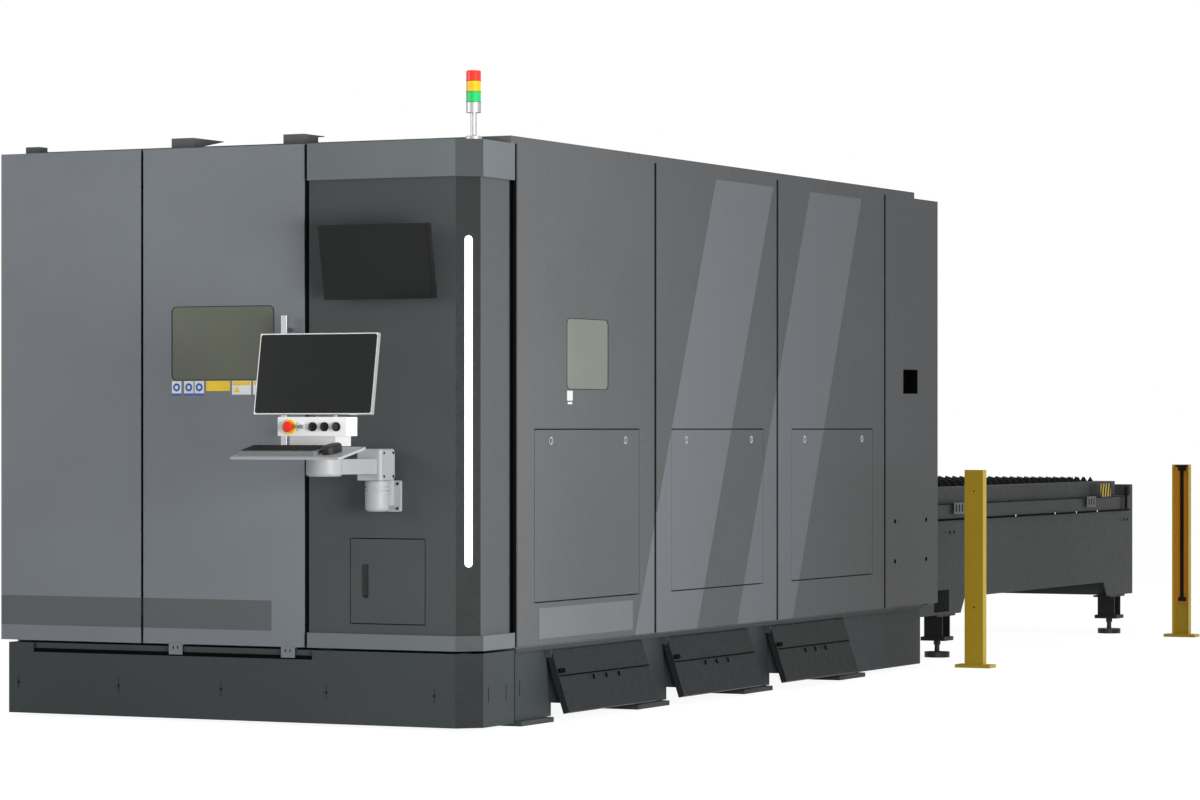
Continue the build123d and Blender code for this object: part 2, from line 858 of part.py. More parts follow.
# Door leaf: a folded tray with a window, two foot brackets and two hangers
window_x = door_left + window_inset + window_width / 2
window_z = window_bottom + window_height / 2
window_plane = Plane(origin=(window_x, door_face, window_z), x_dir=(1, 0, 0), z_dir=(0, -1, 0))
track_top = frame_top - track_drop
hanger_size = track_height - 2 * (track_wall + frame_gap)
with BuildPart() as door_leaf:
    block(door_left, door_right, door_face, door_inside, cabin_bottom, cabin_top)
    block(door_left + sheet, door_right - sheet, door_face + sheet, door_inside,
          cabin_bottom + sheet, cabin_top - sheet, mode=Mode.SUBTRACT)
    with BuildSketch(window_plane):
        RectangleRounded(window_width, window_height, window_radius)
    extrude(amount=-sheet, mode=Mode.SUBTRACT)
    for x_low in bracket_lefts:
        block(x_low, x_low + bracket_width, front, front + bracket_sheet, bracket_bottom,
              cabin_bottom)
        block(x_low, x_low + bracket_width, front, door_inside, cabin_bottom - bracket_sheet,
              cabin_bottom)
        for share in (1 / 3, 2 / 3):
            slot_x = x_low + share * bracket_width
            block(slot_x - bracket_slot / 2, slot_x + bracket_slot / 2, front,
                  front + bracket_sheet, base_top - bracket_slot * 1.5, base_top + bracket_slot / 3,
                  mode=Mode.SUBTRACT)
        block(x_low, x_low + bracket_width, door_face + sheet, door_inside + track_width / 2,
              track_top - track_height / 2 - hanger_size / 2,
              track_top - track_height / 2 + hanger_size / 2)
save(door_leaf, "door_leaf")


# Door window: laser-safe pane
with BuildPart() as door_window:
    with BuildSketch(window_plane.offset(-1)):
        RectangleRounded(window_width - 2 * fit_gap, window_height - 2 * fit_gap,
                         window_radius - fit_gap)
    extrude(amount=-glass_thickness)
    with BuildSketch(window_plane.offset(-sheet)):
        RectangleRounded(window_width + 2 * glass_lap, window_height + 2 * glass_lap,
                         window_radius)
    extrude(amount=-glass_thickness)
save(door_window, "door_window")


# Door handle: a flat upright bar on two stand-offs
handle_x = door_right - handle_inset
with BuildPart() as door_handle:
    bar_y = door_face - handle_standoff
    block(handle_x - handle_width / 2, handle_x + handle_width / 2, bar_y - handle_depth, bar_y,
          handle_bottom, handle_top)
    fillet(door_handle.edges().filter_by(Axis.Z), handle_depth / 4)
    for z in (handle_bottom + 2 * handle_width, handle_top - 2 * handle_width):
        facing(handle_x, z, handle_width / 3, bar_y - handle_depth / 2, door_face)
save(door_handle, "door_handle")


# Door rails: the lower guide bar behind the skirt's notch and the upper hanging track
with BuildPart() as door_rails:
    block(notch_left, notch_right, rail_front, rail_back, rail_bottom, base_top)
    block(notch_left, notch_right, rail_back - sheet, rail_back,
          base_top - skirt_sheet - 2 * rail_depth, base_top)
    track_y = door_inside + frame_gap
    track_left = bracket_lefts[0] - door_travel - slot_end_gap
    track_right = console_left - frame_gap
    block(track_left, track_right, track_y, track_y + track_width, track_top - track_height,
          track_top)
    block(track_left, track_right, track_y, track_y + track_width - track_wall,
          track_top - track_height + track_wall, track_top - track_wall, mode=Mode.SUBTRACT)
save(door_rails, "door_rails")


# Console wrap: the recessed dark wall of the console, with the compartment behind its door
compartment_right = right - compartment_right_inset
compartment_left = compartment_right - compartment_width
compartment_top = compartment_bottom + compartment_height
pivot_x = compartment_right - pivot_inset
pivot_y = console_face + door_fold / 2


def header_notch(x_low):
    """Cuts the place where the doorway's header passes through a wall of the console."""
    block(x_low, x_low + sheet, front_post_y - frame_tube / 2 - frame_gap,
          front_post_y + frame_tube / 2 + frame_gap, frame_top - frame_tube - frame_gap, cabin_top,
          mode=Mode.SUBTRACT)


with BuildPart() as console_wrap:
    wrap_sheet(console_recess, sheet, console_left + sheet, front + console_inner_depth,
               cabin_bottom, cabin_top - sheet)
    block(console_left + sheet, console_left + 2 * sheet, console_face,
          front + console_inner_depth, cabin_bottom, cabin_top - sheet)
    block(right - console_recess - 2 * panel_fold, right - console_recess,
          front + console_inner_depth - sheet, front + console_inner_depth,
          cabin_bottom, cabin_top - sheet)
    block(right - console_recess - 2 * panel_fold, right - console_recess - 2 * panel_fold + sheet,
          front + console_inner_depth, console_back, cabin_bottom, cabin_top - sheet)
    header_notch(console_left + sheet)
    block(compartment_left - 2 * sheet, compartment_right + 2 * sheet, console_face + sheet,
          console_face + compartment_depth, compartment_bottom - 2 * sheet,
          compartment_top + 2 * sheet)
    block(compartment_left, compartment_right, console_face,
          console_face + compartment_depth - sheet, compartment_bottom, compartment_top,
          mode=Mode.SUBTRACT)
    # Pivot pins of the compartment's door
    upright(pivot_x, pivot_y, pivot_radius, compartment_bottom, compartment_bottom + pivot_length)
    upright(pivot_x, pivot_y, pivot_radius, compartment_top - pivot_length, compartment_top)
save(console_wrap, "console_wrap")


# Console bands: the header and the footer that stand proud of the recessed wall
with BuildPart() as console_bands:
    for z_low, z_high, lip_low in ((header_bottom, cabin_top, header_bottom),
                                   (cabin_bottom, footer_top, footer_top - header_lip)):
        wrap_sheet(0, sheet, console_left, console_back, z_low, z_high)
        wrap_sheet(sheet, console_recess - sheet, console_left, console_back, lip_low,
                   lip_low + header_lip)
        block(console_left, console_left + sheet, front, console_back, z_low, z_high)
    header_notch(console_left)
    wrap_plate(0, console_left, console_back, cabin_top - sheet, cabin_top)
save(console_bands, "console_bands")


# Light strip on the console's corner
strip_center = (right - (console_corner + console_recess * sqrt(2)) / 2,
                front + (console_corner + console_recess * sqrt(2)) / 2,
                (strip_bottom + strip_top) / 2)
strip_plane = Plane(origin=strip_center, x_dir=(0, 0, 1), z_dir=(1, -1, 0))
with BuildPart() as light_strip:
    with BuildSketch(strip_plane):
        SlotOverall(strip_top - strip_bottom, strip_width)
    extrude(amount=strip_thickness)
    fillet(light_strip.faces().sort_by(Axis((0, 0, 0), (1, -1, 0)))[-1].edges(),
           strip_thickness / 2)
save(light_strip, "light_strip")


# Laser source: a closed cabinet unit that stands on the compartment's box
source_bottom = compartment_top + 2 * sheet
source_left = console_left + 3 * frame_tube
with BuildPart() as laser_source:
    block(source_left, source_left + source_width, console_face + 2 * sheet,
          console_face + 2 * sheet + source_depth, source_bottom, source_bottom + source_height)
    fillet(laser_source.edges().filter_by(Axis.Z), sheet)
    block(source_left + 2 * sheet, source_left + source_width - 2 * sheet,
          console_face + 4 * sheet, console_face + source_depth,
          source_bottom, source_bottom + source_height - 2 * sheet, mode=Mode.SUBTRACT)
save(laser_source, "laser_source")


# Tower light: foot and pole, then three lenses on a grey base
tower_x = right - tower_inset
tower_y = front + tower_setback
with BuildPart() as tower_pole:
    upright(tower_x, tower_y, tower_foot_radius, cabin_top, cabin_top + tower_foot_height)
    fillet(tower_pole.faces().sort_by(Axis.Z)[-1].edges(), tower_foot_height / 3)
    upright(tower_x, tower_y, tower_pole_radius, cabin_top, tower_pole_top)
    upright(tower_x, tower_y, lamp_radius, tower_pole_top, tower_pole_top + lamp_height)
save(tower_pole, "tower_pole")

for level, color in enumerate(("green", "amber", "red"), start=1):
    with BuildPart() as lens:
        low = tower_pole_top + level * lamp_height
        upright(tower_x, tower_y, lamp_radius, low, low + lamp_height)
        if color == "red":
            fillet(lens.faces().sort_by(Axis.Z)[-1].edges(), lamp_radius / 6)
    save(lens, f"tower_lens_{color}")


# Wall screen: a bracket on the console's wall and a screen that tilts on it
screen_top_z = wall_screen_bottom + wall_screen_height * cos(radians(wall_screen_tilt))
wall_screen_z = (wall_screen_bottom + screen_top_z) / 2
wall_lean = radians(wall_screen_tilt)
wall_face_y = front - wall_screen_reach - wall_screen_height / 2 * sin(wall_lean)
wall_screen_plane = Plane(origin=(arm_x, wall_face_y, wall_screen_z), x_dir=(1, 0, 0),
                          z_dir=(0, -cos(wall_lean), -sin(wall_lean)))
wall_pin = wall_screen_plane.offset(-wall_screen_thickness - 2 * tilt_pin_radius).origin
with BuildPart() as wall_screen_bracket:
    block(arm_x - wall_bracket_width / 2, arm_x + wall_bracket_width / 2, console_face - bracket_sheet,
          console_face, wall_pin.Z - wall_bracket_width / 2, wall_pin.Z + wall_bracket_width / 2)
    for side in (-1, 1):
        ear = arm_x + side * wall_bracket_width / 3
        profile_along_x([(console_face - bracket_sheet, wall_pin.Z - 3 * tilt_pin_radius),
                         (console_face - bracket_sheet, wall_pin.Z + 3 * tilt_pin_radius),
                         (wall_pin.Y - tilt_pin_radius, wall_pin.Z + tilt_pin_radius * 1.5),
                         (wall_pin.Y - tilt_pin_radius, wall_pin.Z - tilt_pin_radius * 1.5)],
                        ear - bracket_sheet / 2, ear + bracket_sheet / 2)
    across(wall_pin.Y, wall_pin.Z, tilt_pin_radius / 2, arm_x - wall_bracket_width / 3,
           arm_x + wall_bracket_width / 3)
save(wall_screen_bracket, "wall_screen_bracket")


def screen_body(width, height, thickness):
    """Adds a flat screen in its own plane: a bezel round a slightly sunk picture area."""
    with Locations((0, 0, -thickness / 4)):
        Box(width, height, thickness / 2)
    with Locations((0, 0, -thickness * 3 / 4)):
        Box(width * screen_back_share, height * screen_back_share, thickness / 2)
    with Locations((0, bezel / 2, -bezel_step / 2)):
        Box(width - 2 * bezel, height - 3 * bezel, bezel_step, mode=Mode.SUBTRACT)


def screen_barrel(thickness, pin_radius, length):
    """Adds the pivot barrel on the back of a screen."""
    with Locations((0, 0, -thickness - pin_radius)):
        Box(length, 3 * pin_radius, 2 * pin_radius)
    with Locations(Location((0, 0, -thickness - 2 * pin_radius), (0, 90, 0))):
        Cylinder(pin_radius * 1.5, length)
        Cylinder(pin_radius / 2 + running_gap, length, mode=Mode.SUBTRACT)


with BuildPart(wall_screen_plane) as wall_screen:
    screen_body(wall_screen_width, wall_screen_height, wall_screen_thickness)
    screen_barrel(wall_screen_thickness, tilt_pin_radius, wall_bracket_width / 2)
save(wall_screen, "wall_screen")


# Arm wall bracket: a plate on the console's wall with an upright post in front of it
with BuildPart() as arm_wall_bracket:
    upright(arm_x, arm_y, wall_post_radius, wall_post_bottom, wall_post_top)
    fillet(arm_wall_bracket.faces().sort_by(Axis.Z)[0].edges(), wall_post_radius / 3)
    upright(arm_x, arm_y, wall_post_radius, groove_height - groove_width, groove_height,
            mode=Mode.SUBTRACT)
    upright(arm_x, arm_y, wall_post_radius - groove_depth, groove_height - groove_width,
            groove_height)
    plate_z = (wall_post_bottom + wall_post_top) / 2
    plane = Plane(origin=(arm_x, console_face, plate_z), x_dir=(1, 0, 0), z_dir=(0, -1, 0))
    with BuildSketch(plane):
        RectangleRounded(wall_plate_width, wall_plate_height, wall_plate_thickness / 2)
    extrude(amount=wall_plate_thickness)
    neck_half = wall_post_radius - wall_plate_thickness
    block(arm_x - neck_half, arm_x + neck_half, arm_y, console_face - wall_plate_thickness / 2,
          wall_post_bottom + wall_post_radius / 2, wall_post_top)
save(arm_wall_bracket, "arm_wall_bracket")


# Arm link: knuckle over the post, rounded arm and round elbow cup
with BuildPart() as arm_link:
    upright(arm_x, elbow_y, elbow_radius, arm_bottom - arm_height / 8, elbow_top)
    fillet(arm_link.faces().sort_by(Axis.Z)[0].edges(), elbow_radius / 5)
    with BuildSketch(Plane.XY.offset(knuckle_bottom)):
        with Locations((arm_x, arm_y - knuckle_size / 8)):
            RectangleRounded(knuckle_size, knuckle_size, knuckle_size / 8)
    extrude(amount=knuckle_top - knuckle_bottom)
    fillet(arm_link.faces().sort_by(Axis.Z)[-1].edges(), knuckle_size / 16)
    with BuildSketch(Plane.XY.offset(arm_bottom)):
        with Locations((arm_x, (arm_y + elbow_y) / 2)):
            Rectangle(arm_width, arm_length)
    extrude(amount=arm_height)
save(arm_link, "arm_link")


# Arm head: turns on the elbow and carries the tray, the control box and the screen's spine
tray_slope = radians(tray_tilt)
tray_edge_y = elbow_y - tray_edge_reach
head_bottom = elbow_top + elbow_gap


def tray_under(y):
    """Height of the tray's underside at a distance along Y."""
    drop = tray_thickness / cos(tray_slope)
    return tray_edge_height - drop + (y - tray_edge_y) * tan(tray_slope)


box_face_y = elbow_y - box_face_reach
box_back_y = box_face_y + box_depth
tray_back_y = tray_edge_y + tray_depth * cos(tray_slope) + tray_thickness * sin(tray_slope)
screen_lean = radians(screen_tilt)
screen_bottom = box_bottom + box_height + screen_gap
screen_z = screen_bottom + screen_height / 2 * cos(screen_lean)
screen_y = box_face_y + screen_height / 2 * sin(screen_lean)
screen_plane = Plane(origin=(arm_x, screen_y, screen_z), x_dir=(1, 0, 0),
                     z_dir=(0, -cos(screen_lean), sin(screen_lean)))
screen_pin = screen_plane.offset(-screen_thickness - 2 * tilt_pin_radius).origin
spine_front = max(box_back_y, screen_pin.Y + 2 * tilt_pin_radius)
spine_back = spine_front + spine_depth

with BuildPart() as arm_head:
    upright(arm_x, elbow_y, head_foot / 2, head_bottom, head_bracket_bottom)
    bracket_end = tray_edge_y + tray_depth / 3
    profile_along_x([(elbow_y, head_bottom + tray_thickness), (bracket_end, tray_under(bracket_end) - 2),
                     (bracket_end, tray_under(bracket_end)), (tray_back_y, tray_under(tray_back_y)),
                     (tray_back_y, head_bracket_bottom), (elbow_y, head_bracket_bottom)],
                    arm_x - head_foot / 2, arm_x + head_foot / 2)
    block(arm_x - head_bracket_width / 2, arm_x + head_bracket_width / 2, box_face_y + sheet,
          spine_back, head_bracket_bottom, box_bottom)
    block(arm_x - spine_width / 2, arm_x + spine_width / 2, spine_front, spine_back,
          head_bracket_bottom, screen_pin.Z + 3 * tilt_pin_radius)
    for side in (-1, 1):
        ear = arm_x + side * (spine_width / 2 - bracket_sheet / 2)
        block(ear - bracket_sheet / 2, ear + bracket_sheet / 2, screen_pin.Y - tilt_pin_radius,
              spine_front, screen_pin.Z - 2 * tilt_pin_radius, screen_pin.Z + 2 * tilt_pin_radius)
    across(screen_pin.Y, screen_pin.Z, tilt_pin_radius / 2, arm_x - spine_width / 2,
           arm_x + spine_width / 2)
save(arm_head, "arm_head")

with BuildPart(screen_plane) as operator_screen:
    screen_body(screen_width, screen_height, screen_thickness)
    screen_barrel(screen_thickness, tilt_pin_radius, spine_width / 2)
save(operator_screen, "operator_screen")


# Control box with a bezel and a bore for each of its five controls
box_left = arm_x - box_width / 2
control_xs = [box_left + first_control + index * control_spacing for index in range(5)]
bore_radius = control_stem_radius + control_bore_gap
with BuildPart() as control_box:
    block(box_left, box_left + box_width, box_face_y, box_back_y, box_bottom,
          box_bottom + box_height)
    fillet(control_box.edges().filter_by(Axis.Y), sheet)
    facing(control_xs[0], control_height, stop_ring_radius, box_face_y - sheet, box_face_y + sheet)
    for x in control_xs[1:]:
        facing(x, control_height, bezel_radius, box_face_y - bezel_height, box_face_y + sheet)
    for x in control_xs:
        facing(x, control_height, bore_radius, box_face_y - bezel_height,
               box_face_y + control_bore_depth, mode=Mode.SUBTRACT)
    block(box_left + sheet, box_left + box_width - sheet, box_face_y + control_bore_depth,
          box_back_y - sheet, box_bottom + sheet, box_bottom + box_height - sheet,
          mode=Mode.SUBTRACT)
save(control_box, "control_box")


def control(x, radius, height, gap):
    """Adds a head in front of the box on a stem that runs in its bore."""
    head_back = box_face_y - bezel_height - gap
    facing(x, control_height, control_stem_radius, head_back, box_face_y + control_stem_length)
    facing(x, control_height, radius, head_back - height, head_back)


stop_gap = 6
with BuildPart() as emergency_stop:
    control(control_xs[0], stop_button_radius, knob_height, stop_gap)
    fillet(emergency_stop.faces().sort_by(Axis.Y)[0].edges(), knob_height / 2)
save(emergency_stop, "emergency_stop")

with BuildPart() as key_switch:
    control(control_xs[1], control_stem_radius, bezel_height / 2, 0)
    block(control_xs[1] - 1, control_xs[1] + 1, box_face_y - bezel_height - 2 * knob_height,
          box_face_y - bezel_height, control_height - knob_radius / 2,
          control_height + knob_radius / 2)
save(key_switch, "key_switch")

for index, name in ((2, "selector_knob_left"), (3, "selector_knob_right")):
    with BuildPart() as knob:
        control(control_xs[index], knob_radius, knob_height / 2, fit_gap)
        block(control_xs[index] - knob_radius / 4, control_xs[index] + knob_radius / 4,
              box_face_y - bezel_height - knob_height - fit_gap,
              box_face_y - bezel_height - fit_gap, control_height - knob_grip / 2,
              control_height + knob_grip / 2)
    save(knob, name)

with BuildPart() as push_button:
    button_gap = 4
    control(control_xs[4], knob_radius, bezel_height, button_gap)
    fillet(push_button.faces().sort_by(Axis.Y)[0].edges(), 1)
save(push_button, "push_button")


# Keyboard tray: a tilted plate with a low back edge
tray_plane = Plane(origin=(arm_x, tray_edge_y, tray_edge_height), x_dir=(1, 0, 0),
                   z_dir=(0, -sin(tray_slope), cos(tray_slope)))
with BuildPart(tray_plane) as keyboard_tray:
    with Locations((0, tray_depth / 2, -tray_thickness / 2)):
        Box(tray_width, tray_depth, tray_thickness)
    fillet(keyboard_tray.edges().filter_by(Axis((0, 0, 0), tray_plane.z_dir)), tray_thickness)
save(keyboard_tray, "keyboard_tray")

keyboard_x = -tray_width / 2 + keyboard_width / 2 + tray_thickness * 2
keyboard_y = tray_depth / 2 - tray_thickness
with BuildPart(tray_plane) as keyboard:
    with Locations((keyboard_x, keyboard_y, keyboard_height / 2)):
        Box(keyboard_width, keyboard_depth, keyboard_height)
    fillet(keyboard.edges().filter_by(Axis((0, 0, 0), tray_plane.z_dir)), keyboard_height / 3)
    with Locations((keyboard_x, keyboard_y, keyboard_height + key_height / 2)):
        with GridLocations(key_pitch, key_pitch, key_columns, key_rows):
            Box(key_size, key_size, key_height)
save(keyboard, "keyboard")

mouse_x = keyboard_x + keyboard_width / 2 + mouse_width / 2 + tray_thickness
with BuildPart(tray_plane) as mouse:
    with BuildSketch(tray_plane):
        with Locations((mouse_x, keyboard_y)):
            Ellipse(mouse_width / 2, mouse_length / 2)
    extrude(amount=mouse_height)
    fillet(mouse.faces().sort_by(Axis((0, 0, 0), tray_plane.z_dir))[-1].edges(), mouse_height / 3)
save(mouse, "mouse")


# Compartment door with the dish of its handle, and the lever that swings out of it
leaf_left = compartment_left + compartment_gap
leaf_right = compartment_right - compartment_gap
leaf_low = compartment_bottom + compartment_gap
leaf_high = compartment_top - compartment_gap
lever_x = compartment_left + swing_handle_inset
dish_depth = door_fold - 2 * compartment_sheet
with BuildPart() as compartment_door:
    block(leaf_left, leaf_right, console_face, console_face + door_fold, leaf_low, leaf_high)
    block(leaf_left + compartment_sheet, leaf_right - compartment_sheet,
          console_face + compartment_sheet, console_face + door_fold,
          leaf_low + compartment_sheet, leaf_high - compartment_sheet, mode=Mode.SUBTRACT)
    block(lever_x - swing_handle_width / 2, lever_x + swing_handle_width / 2, console_face,
          console_face + door_fold, swing_handle_bottom, swing_handle_bottom + swing_handle_height)
    block(lever_x - swing_handle_width / 2 + sheet, lever_x + swing_handle_width / 2 - sheet,
          console_face, console_face + dish_depth, swing_handle_bottom + sheet,
          swing_handle_bottom + swing_handle_height - sheet, mode=Mode.SUBTRACT)
    upright(pivot_x, pivot_y, pivot_radius + running_gap, leaf_low, leaf_high,
            mode=Mode.SUBTRACT)
save(compartment_door, "compartment_door")

lever_half = swing_handle_width / 2 - sheet - 1
lever_low = swing_handle_bottom + sheet + 1
lever_high = swing_handle_bottom + swing_handle_height - sheet - 1
with BuildPart() as compartment_handle:
    block(lever_x - lever_half, lever_x + lever_half, console_face - sheet,
          console_face + dish_depth - 1, lever_low + swing_handle_pivot, lever_high)
    facing_depth = dish_depth - 1 + sheet
    across(console_face - sheet + facing_depth / 2, lever_low + swing_handle_pivot,
           facing_depth / 2, lever_x - lever_half, lever_x + lever_half)
    fillet(compartment_handle.faces().sort_by(Axis.Z)[-1].edges().filter_by(Axis.X), sheet)
save(compartment_handle, "compartment_handle")


# Slag flaps: folded flaps that hang from the hinge rods, each with a ledge across its face
for index, center in enumerate(hinge_centers):
    flap_plane = Plane(origin=(hinge_x, center, hinge_height), x_dir=(0, 1, 0),
                       z_dir=(cos(tilt), 0, sin(tilt)))
    face_height = hinge_barrel_radius + 1
    with BuildPart(flap_plane) as flap:
        with Locations((0, -flap_length / 2 - flap_sheet, face_height - flap_thickness / 2)):
            Box(flap_width, flap_length, flap_thickness)
        with Locations((0, -flap_length / 2 - flap_sheet - flap_sheet,
                        face_height - flap_sheet - flap_thickness / 2)):
            Box(flap_width - 2 * flap_sheet, flap_length - 4 * flap_sheet, flap_thickness,
                mode=Mode.SUBTRACT)
        with Locations((0, -flap_ledge / 2 - flap_sheet, face_height - flap_sheet / 2)):
            Box(flap_width, flap_ledge, flap_sheet)
        with Locations((0, -flap_ledge - flap_sheet, face_height)):
            Box(flap_width - 4 * flap_thickness, flap_ledge_step, 2 * flap_sheet / 3,
                mode=Mode.SUBTRACT)
        with Locations(Location((0, 0, 0), (0, 90, 0))):
            Cylinder(hinge_barrel_radius, flap_width)
            Cylinder(hinge_rod_radius + running_gap, flap_width, mode=Mode.SUBTRACT)
    save(flap, f"slag_flap_{index + 1}")


# Exchange table frame: side and end plates, legs, cross tubes and guides on two levels
table_half = table_width / 2
table_start = back + panel_fold
guide_end = table_end - guide_end_gap
guide_top = pallet_upper - track_gap
lower_top = pallet_lower - track_gap
ledge_reach = pallet_width / 2 - pallet_beam_width
leg_ys = (back + first_leg, back + second_leg)
near_plate_end = back + leg_length
far_plate_start = table_end - leg_length / 2
pocket_wall = pocket_bottom - leg_bottom
plate_points = [
    (table_start, leg_bottom),
    (near_plate_end, leg_bottom),
    (near_plate_end + plate_slope, table_bottom),
    (far_plate_start - plate_slope, table_bottom),
    (far_plate_start, leg_bottom),
    (table_end, leg_bottom),
    (table_end, table_top),
    (table_start, table_top),
]
with BuildPart() as table_frame:
    for side in bed_sides:
        # Side plate, deeper at both ends where the legs stand
        plate_x = sorted((middle + side * (table_half - table_sheet), middle + side * table_half))
        profile_along_x(plate_points, plate_x[0], plate_x[1])
        signed_block(side, table_half - table_flange, table_half, table_start, table_end,
                     table_top - table_sheet, table_top)
        signed_block(side, table_half - table_flange, table_half, near_plate_end + plate_slope,
                     far_plate_start - plate_slope, table_bottom, table_bottom + table_sheet)
        # Upper guide on spacers and lower guide on the inside of the plate
        signed_block(side, table_half - guide_band_depth, table_half, table_start, guide_end,
                     guide_band_bottom, guide_top - ledge_height)
        signed_block(side, ledge_reach, table_half, table_start, guide_end,
                     guide_top - ledge_height, guide_top)
        signed_block(side, table_half - guide_band_depth, table_half - table_sheet,
                     table_start, guide_end, table_top - table_sheet, guide_band_bottom)
        signed_block(side, ledge_reach, table_half - table_sheet, table_start, guide_end,
                     lower_top - ledge_height, lower_top)
        # End stop
        signed_block(side, table_half - table_flange, table_half, table_end - stop_length,
                     table_end, table_top, stop_height)
        # Legs, an H section between a foot plate and a head plate
        leg_low = leg_plate_bottom + leg_plate
        for y in leg_ys:
            for offset in (-1, 1):
                flange_y = y + offset * leg_size / 2
                signed_block(side, table_half - leg_size, table_half, flange_y - leg_web / 2,
                             flange_y + leg_web / 2, leg_low, leg_bottom)
            signed_block(side, table_half - leg_inset - leg_web / 2,
                         table_half - leg_inset + leg_web / 2, y - leg_size / 2,
                         y + leg_size / 2, leg_low, leg_bottom)
            signed_block(side, table_half - leg_size, table_half, y - leg_plate_size,
                         y + leg_plate_size, leg_bottom - leg_web, leg_bottom)
            signed_block(side, table_half - leg_inset - leg_plate_size / 2,
                         table_half - leg_inset + leg_plate_size / 2, y - leg_plate_size / 2,
                         y + leg_plate_size / 2, leg_plate_bottom, leg_low)
            upright(middle + side * (table_half - leg_inset), y, foot_stem_radius + fit_gap,
                    leg_plate_bottom, leg_low, mode=Mode.SUBTRACT)
    # End plate and the cross tube over the far legs
    block(middle - table_half, middle + table_half, table_end - table_sheet, table_end,
          leg_bottom, stop_height)
    block(middle - table_half + table_sheet, middle + table_half - table_sheet,
          leg_ys[1] - leg_size / 2, leg_ys[1] + leg_size / 2, leg_bottom, table_bottom + leg_size)
    # Fork pocket over the near legs: a wide tube that is open through both side plates
    pocket_low = back + pocket_start
    pocket_high = pocket_low + pocket_length
    block(middle - table_half, middle + table_half, pocket_low - pocket_wall,
          pocket_high + pocket_wall, leg_bottom, pocket_bottom + pocket_height + pocket_wall)
    block(middle - table_half, middle + table_half, pocket_low, pocket_high, pocket_bottom,
          pocket_bottom + pocket_height, mode=Mode.SUBTRACT)
save(table_frame, "table_frame")


# Levelling feet of the table: disc, stem and lock nut
with BuildPart() as levelling_feet:
    for side in bed_sides:
        for y in leg_ys:
            x = middle + side * (table_half - leg_inset)
            upright(x, y, foot_radius, 0, foot_height)
            upright(x, y, foot_stem_radius, foot_height, leg_plate_bottom + leg_plate)
            with BuildSketch(Plane.XY.offset(leg_plate_bottom - foot_nut_height)):
                with Locations((x, y)):
                    RegularPolygon(foot_nut_radius, 6)
            extrude(amount=foot_nut_height)
save(levelling_feet, "levelling_feet")


def pallet_frame(y_low, level):
    """Adds the welded frame of a pallet: two side beams and two end beams."""
    y_high = y_low + pallet_length
    half = pallet_width / 2
    for side in bed_sides:
        signed_block(side, half - pallet_beam_width, half, y_low, y_high, level,
                     level + pallet_beam_height)
    for y in (y_low, y_high - pallet_beam_width):
        block(middle - half, middle + half, y, y + pallet_beam_width, level,
              level + pallet_beam_height)


def slats(y_low, level, points):
    """Adds the support slats across a pallet from the (x, z) corners of one slat."""
    planes = [
        Plane(origin=(middle, y_low + slat_first + index * slat_pitch, level),
              x_dir=(1, 0, 0), z_dir=(0, -1, 0))
        for index in range(slat_count)
    ]
    with BuildSketch(*planes) as section:
        with BuildLine():
            Polyline(*points, close=True)
        make_face()
    extrude(section.sketch, amount=-slat_thickness, clean=False)


slat_half = pallet_width / 2 - pallet_beam_width
slat_top = pallet_beam_height + slat_reach
slat_base = slat_top - slat_height
plain_points = [(-slat_half, slat_base), (-slat_half, slat_top), (slat_half, slat_top),
                (slat_half, slat_base)]
tooth_count = int(2 * slat_half // tooth_pitch)
tooth_start = -tooth_count * tooth_pitch / 2
toothed_points = [(-slat_half, slat_base), (-slat_half, slat_top - tooth_height)]
for tooth in range(tooth_count):
    start = tooth_start + tooth * tooth_pitch
    toothed_points.append((start, slat_top - tooth_height))
    toothed_points.append((start + tooth_pitch / 2, slat_top))
toothed_points.append((-tooth_start, slat_top - tooth_height))
toothed_points.append((slat_half, slat_top - tooth_height))
toothed_points.append((slat_half, slat_base))

# Upper pallet, out on the table, with toothed slats
upper_low = back + pallet_start
with BuildPart() as upper_pallet:
    pallet_frame(upper_low, pallet_upper)
    slats(upper_low, pallet_upper, toothed_points)
save(upper_pallet, "upper_pallet")

# Lower pallet, inside the cabin
lower_low = back + pallet_start - pallet_travel
with BuildPart() as lower_pallet:
    pallet_frame(lower_low, pallet_lower)
    slats(lower_low, pallet_lower, plain_points)
save(lower_pallet, "lower_pallet")


# Gantry: a beam across the bed on four runner blocks
gantry_front = front + gantry_start
gantry_back = gantry_front + gantry_depth
gantry_bottom = bed_top + gantry_lift
gantry_top = gantry_bottom + gantry_height
gantry_half = cabin_width / 2 - gantry_end_inset
runner_center = (beam_inner + beam_outer) / 2
runner_half = guide_width / 2 + slide_gap + bed_wall
with BuildPart() as gantry_beam:
    block(middle - gantry_half, middle + gantry_half, gantry_front, gantry_back,
          gantry_bottom, gantry_top)
    block(middle - gantry_half, middle + gantry_half, gantry_front + bed_wall,
          gantry_back - bed_wall, gantry_bottom + bed_wall, gantry_top - bed_wall,
          mode=Mode.SUBTRACT)
    for side in bed_sides:
        signed_block(side, runner_center - runner_half, runner_center + runner_half,
                     gantry_front, gantry_back, bed_top + slide_gap, gantry_bottom)
        signed_block(side, runner_center - guide_width / 2 - slide_gap,
                     runner_center + guide_width / 2 + slide_gap, gantry_front, gantry_back,
                     bed_top, bed_top + guide_height + slide_gap, mode=Mode.SUBTRACT)
    for z in (gantry_bottom + gantry_height / 5, gantry_top - gantry_height / 5):
        block(middle - gantry_half, middle + gantry_half, gantry_front - linear_rail,
              gantry_front, z - linear_rail / 2, z + linear_rail / 2)
save(gantry_beam, "gantry_beam")


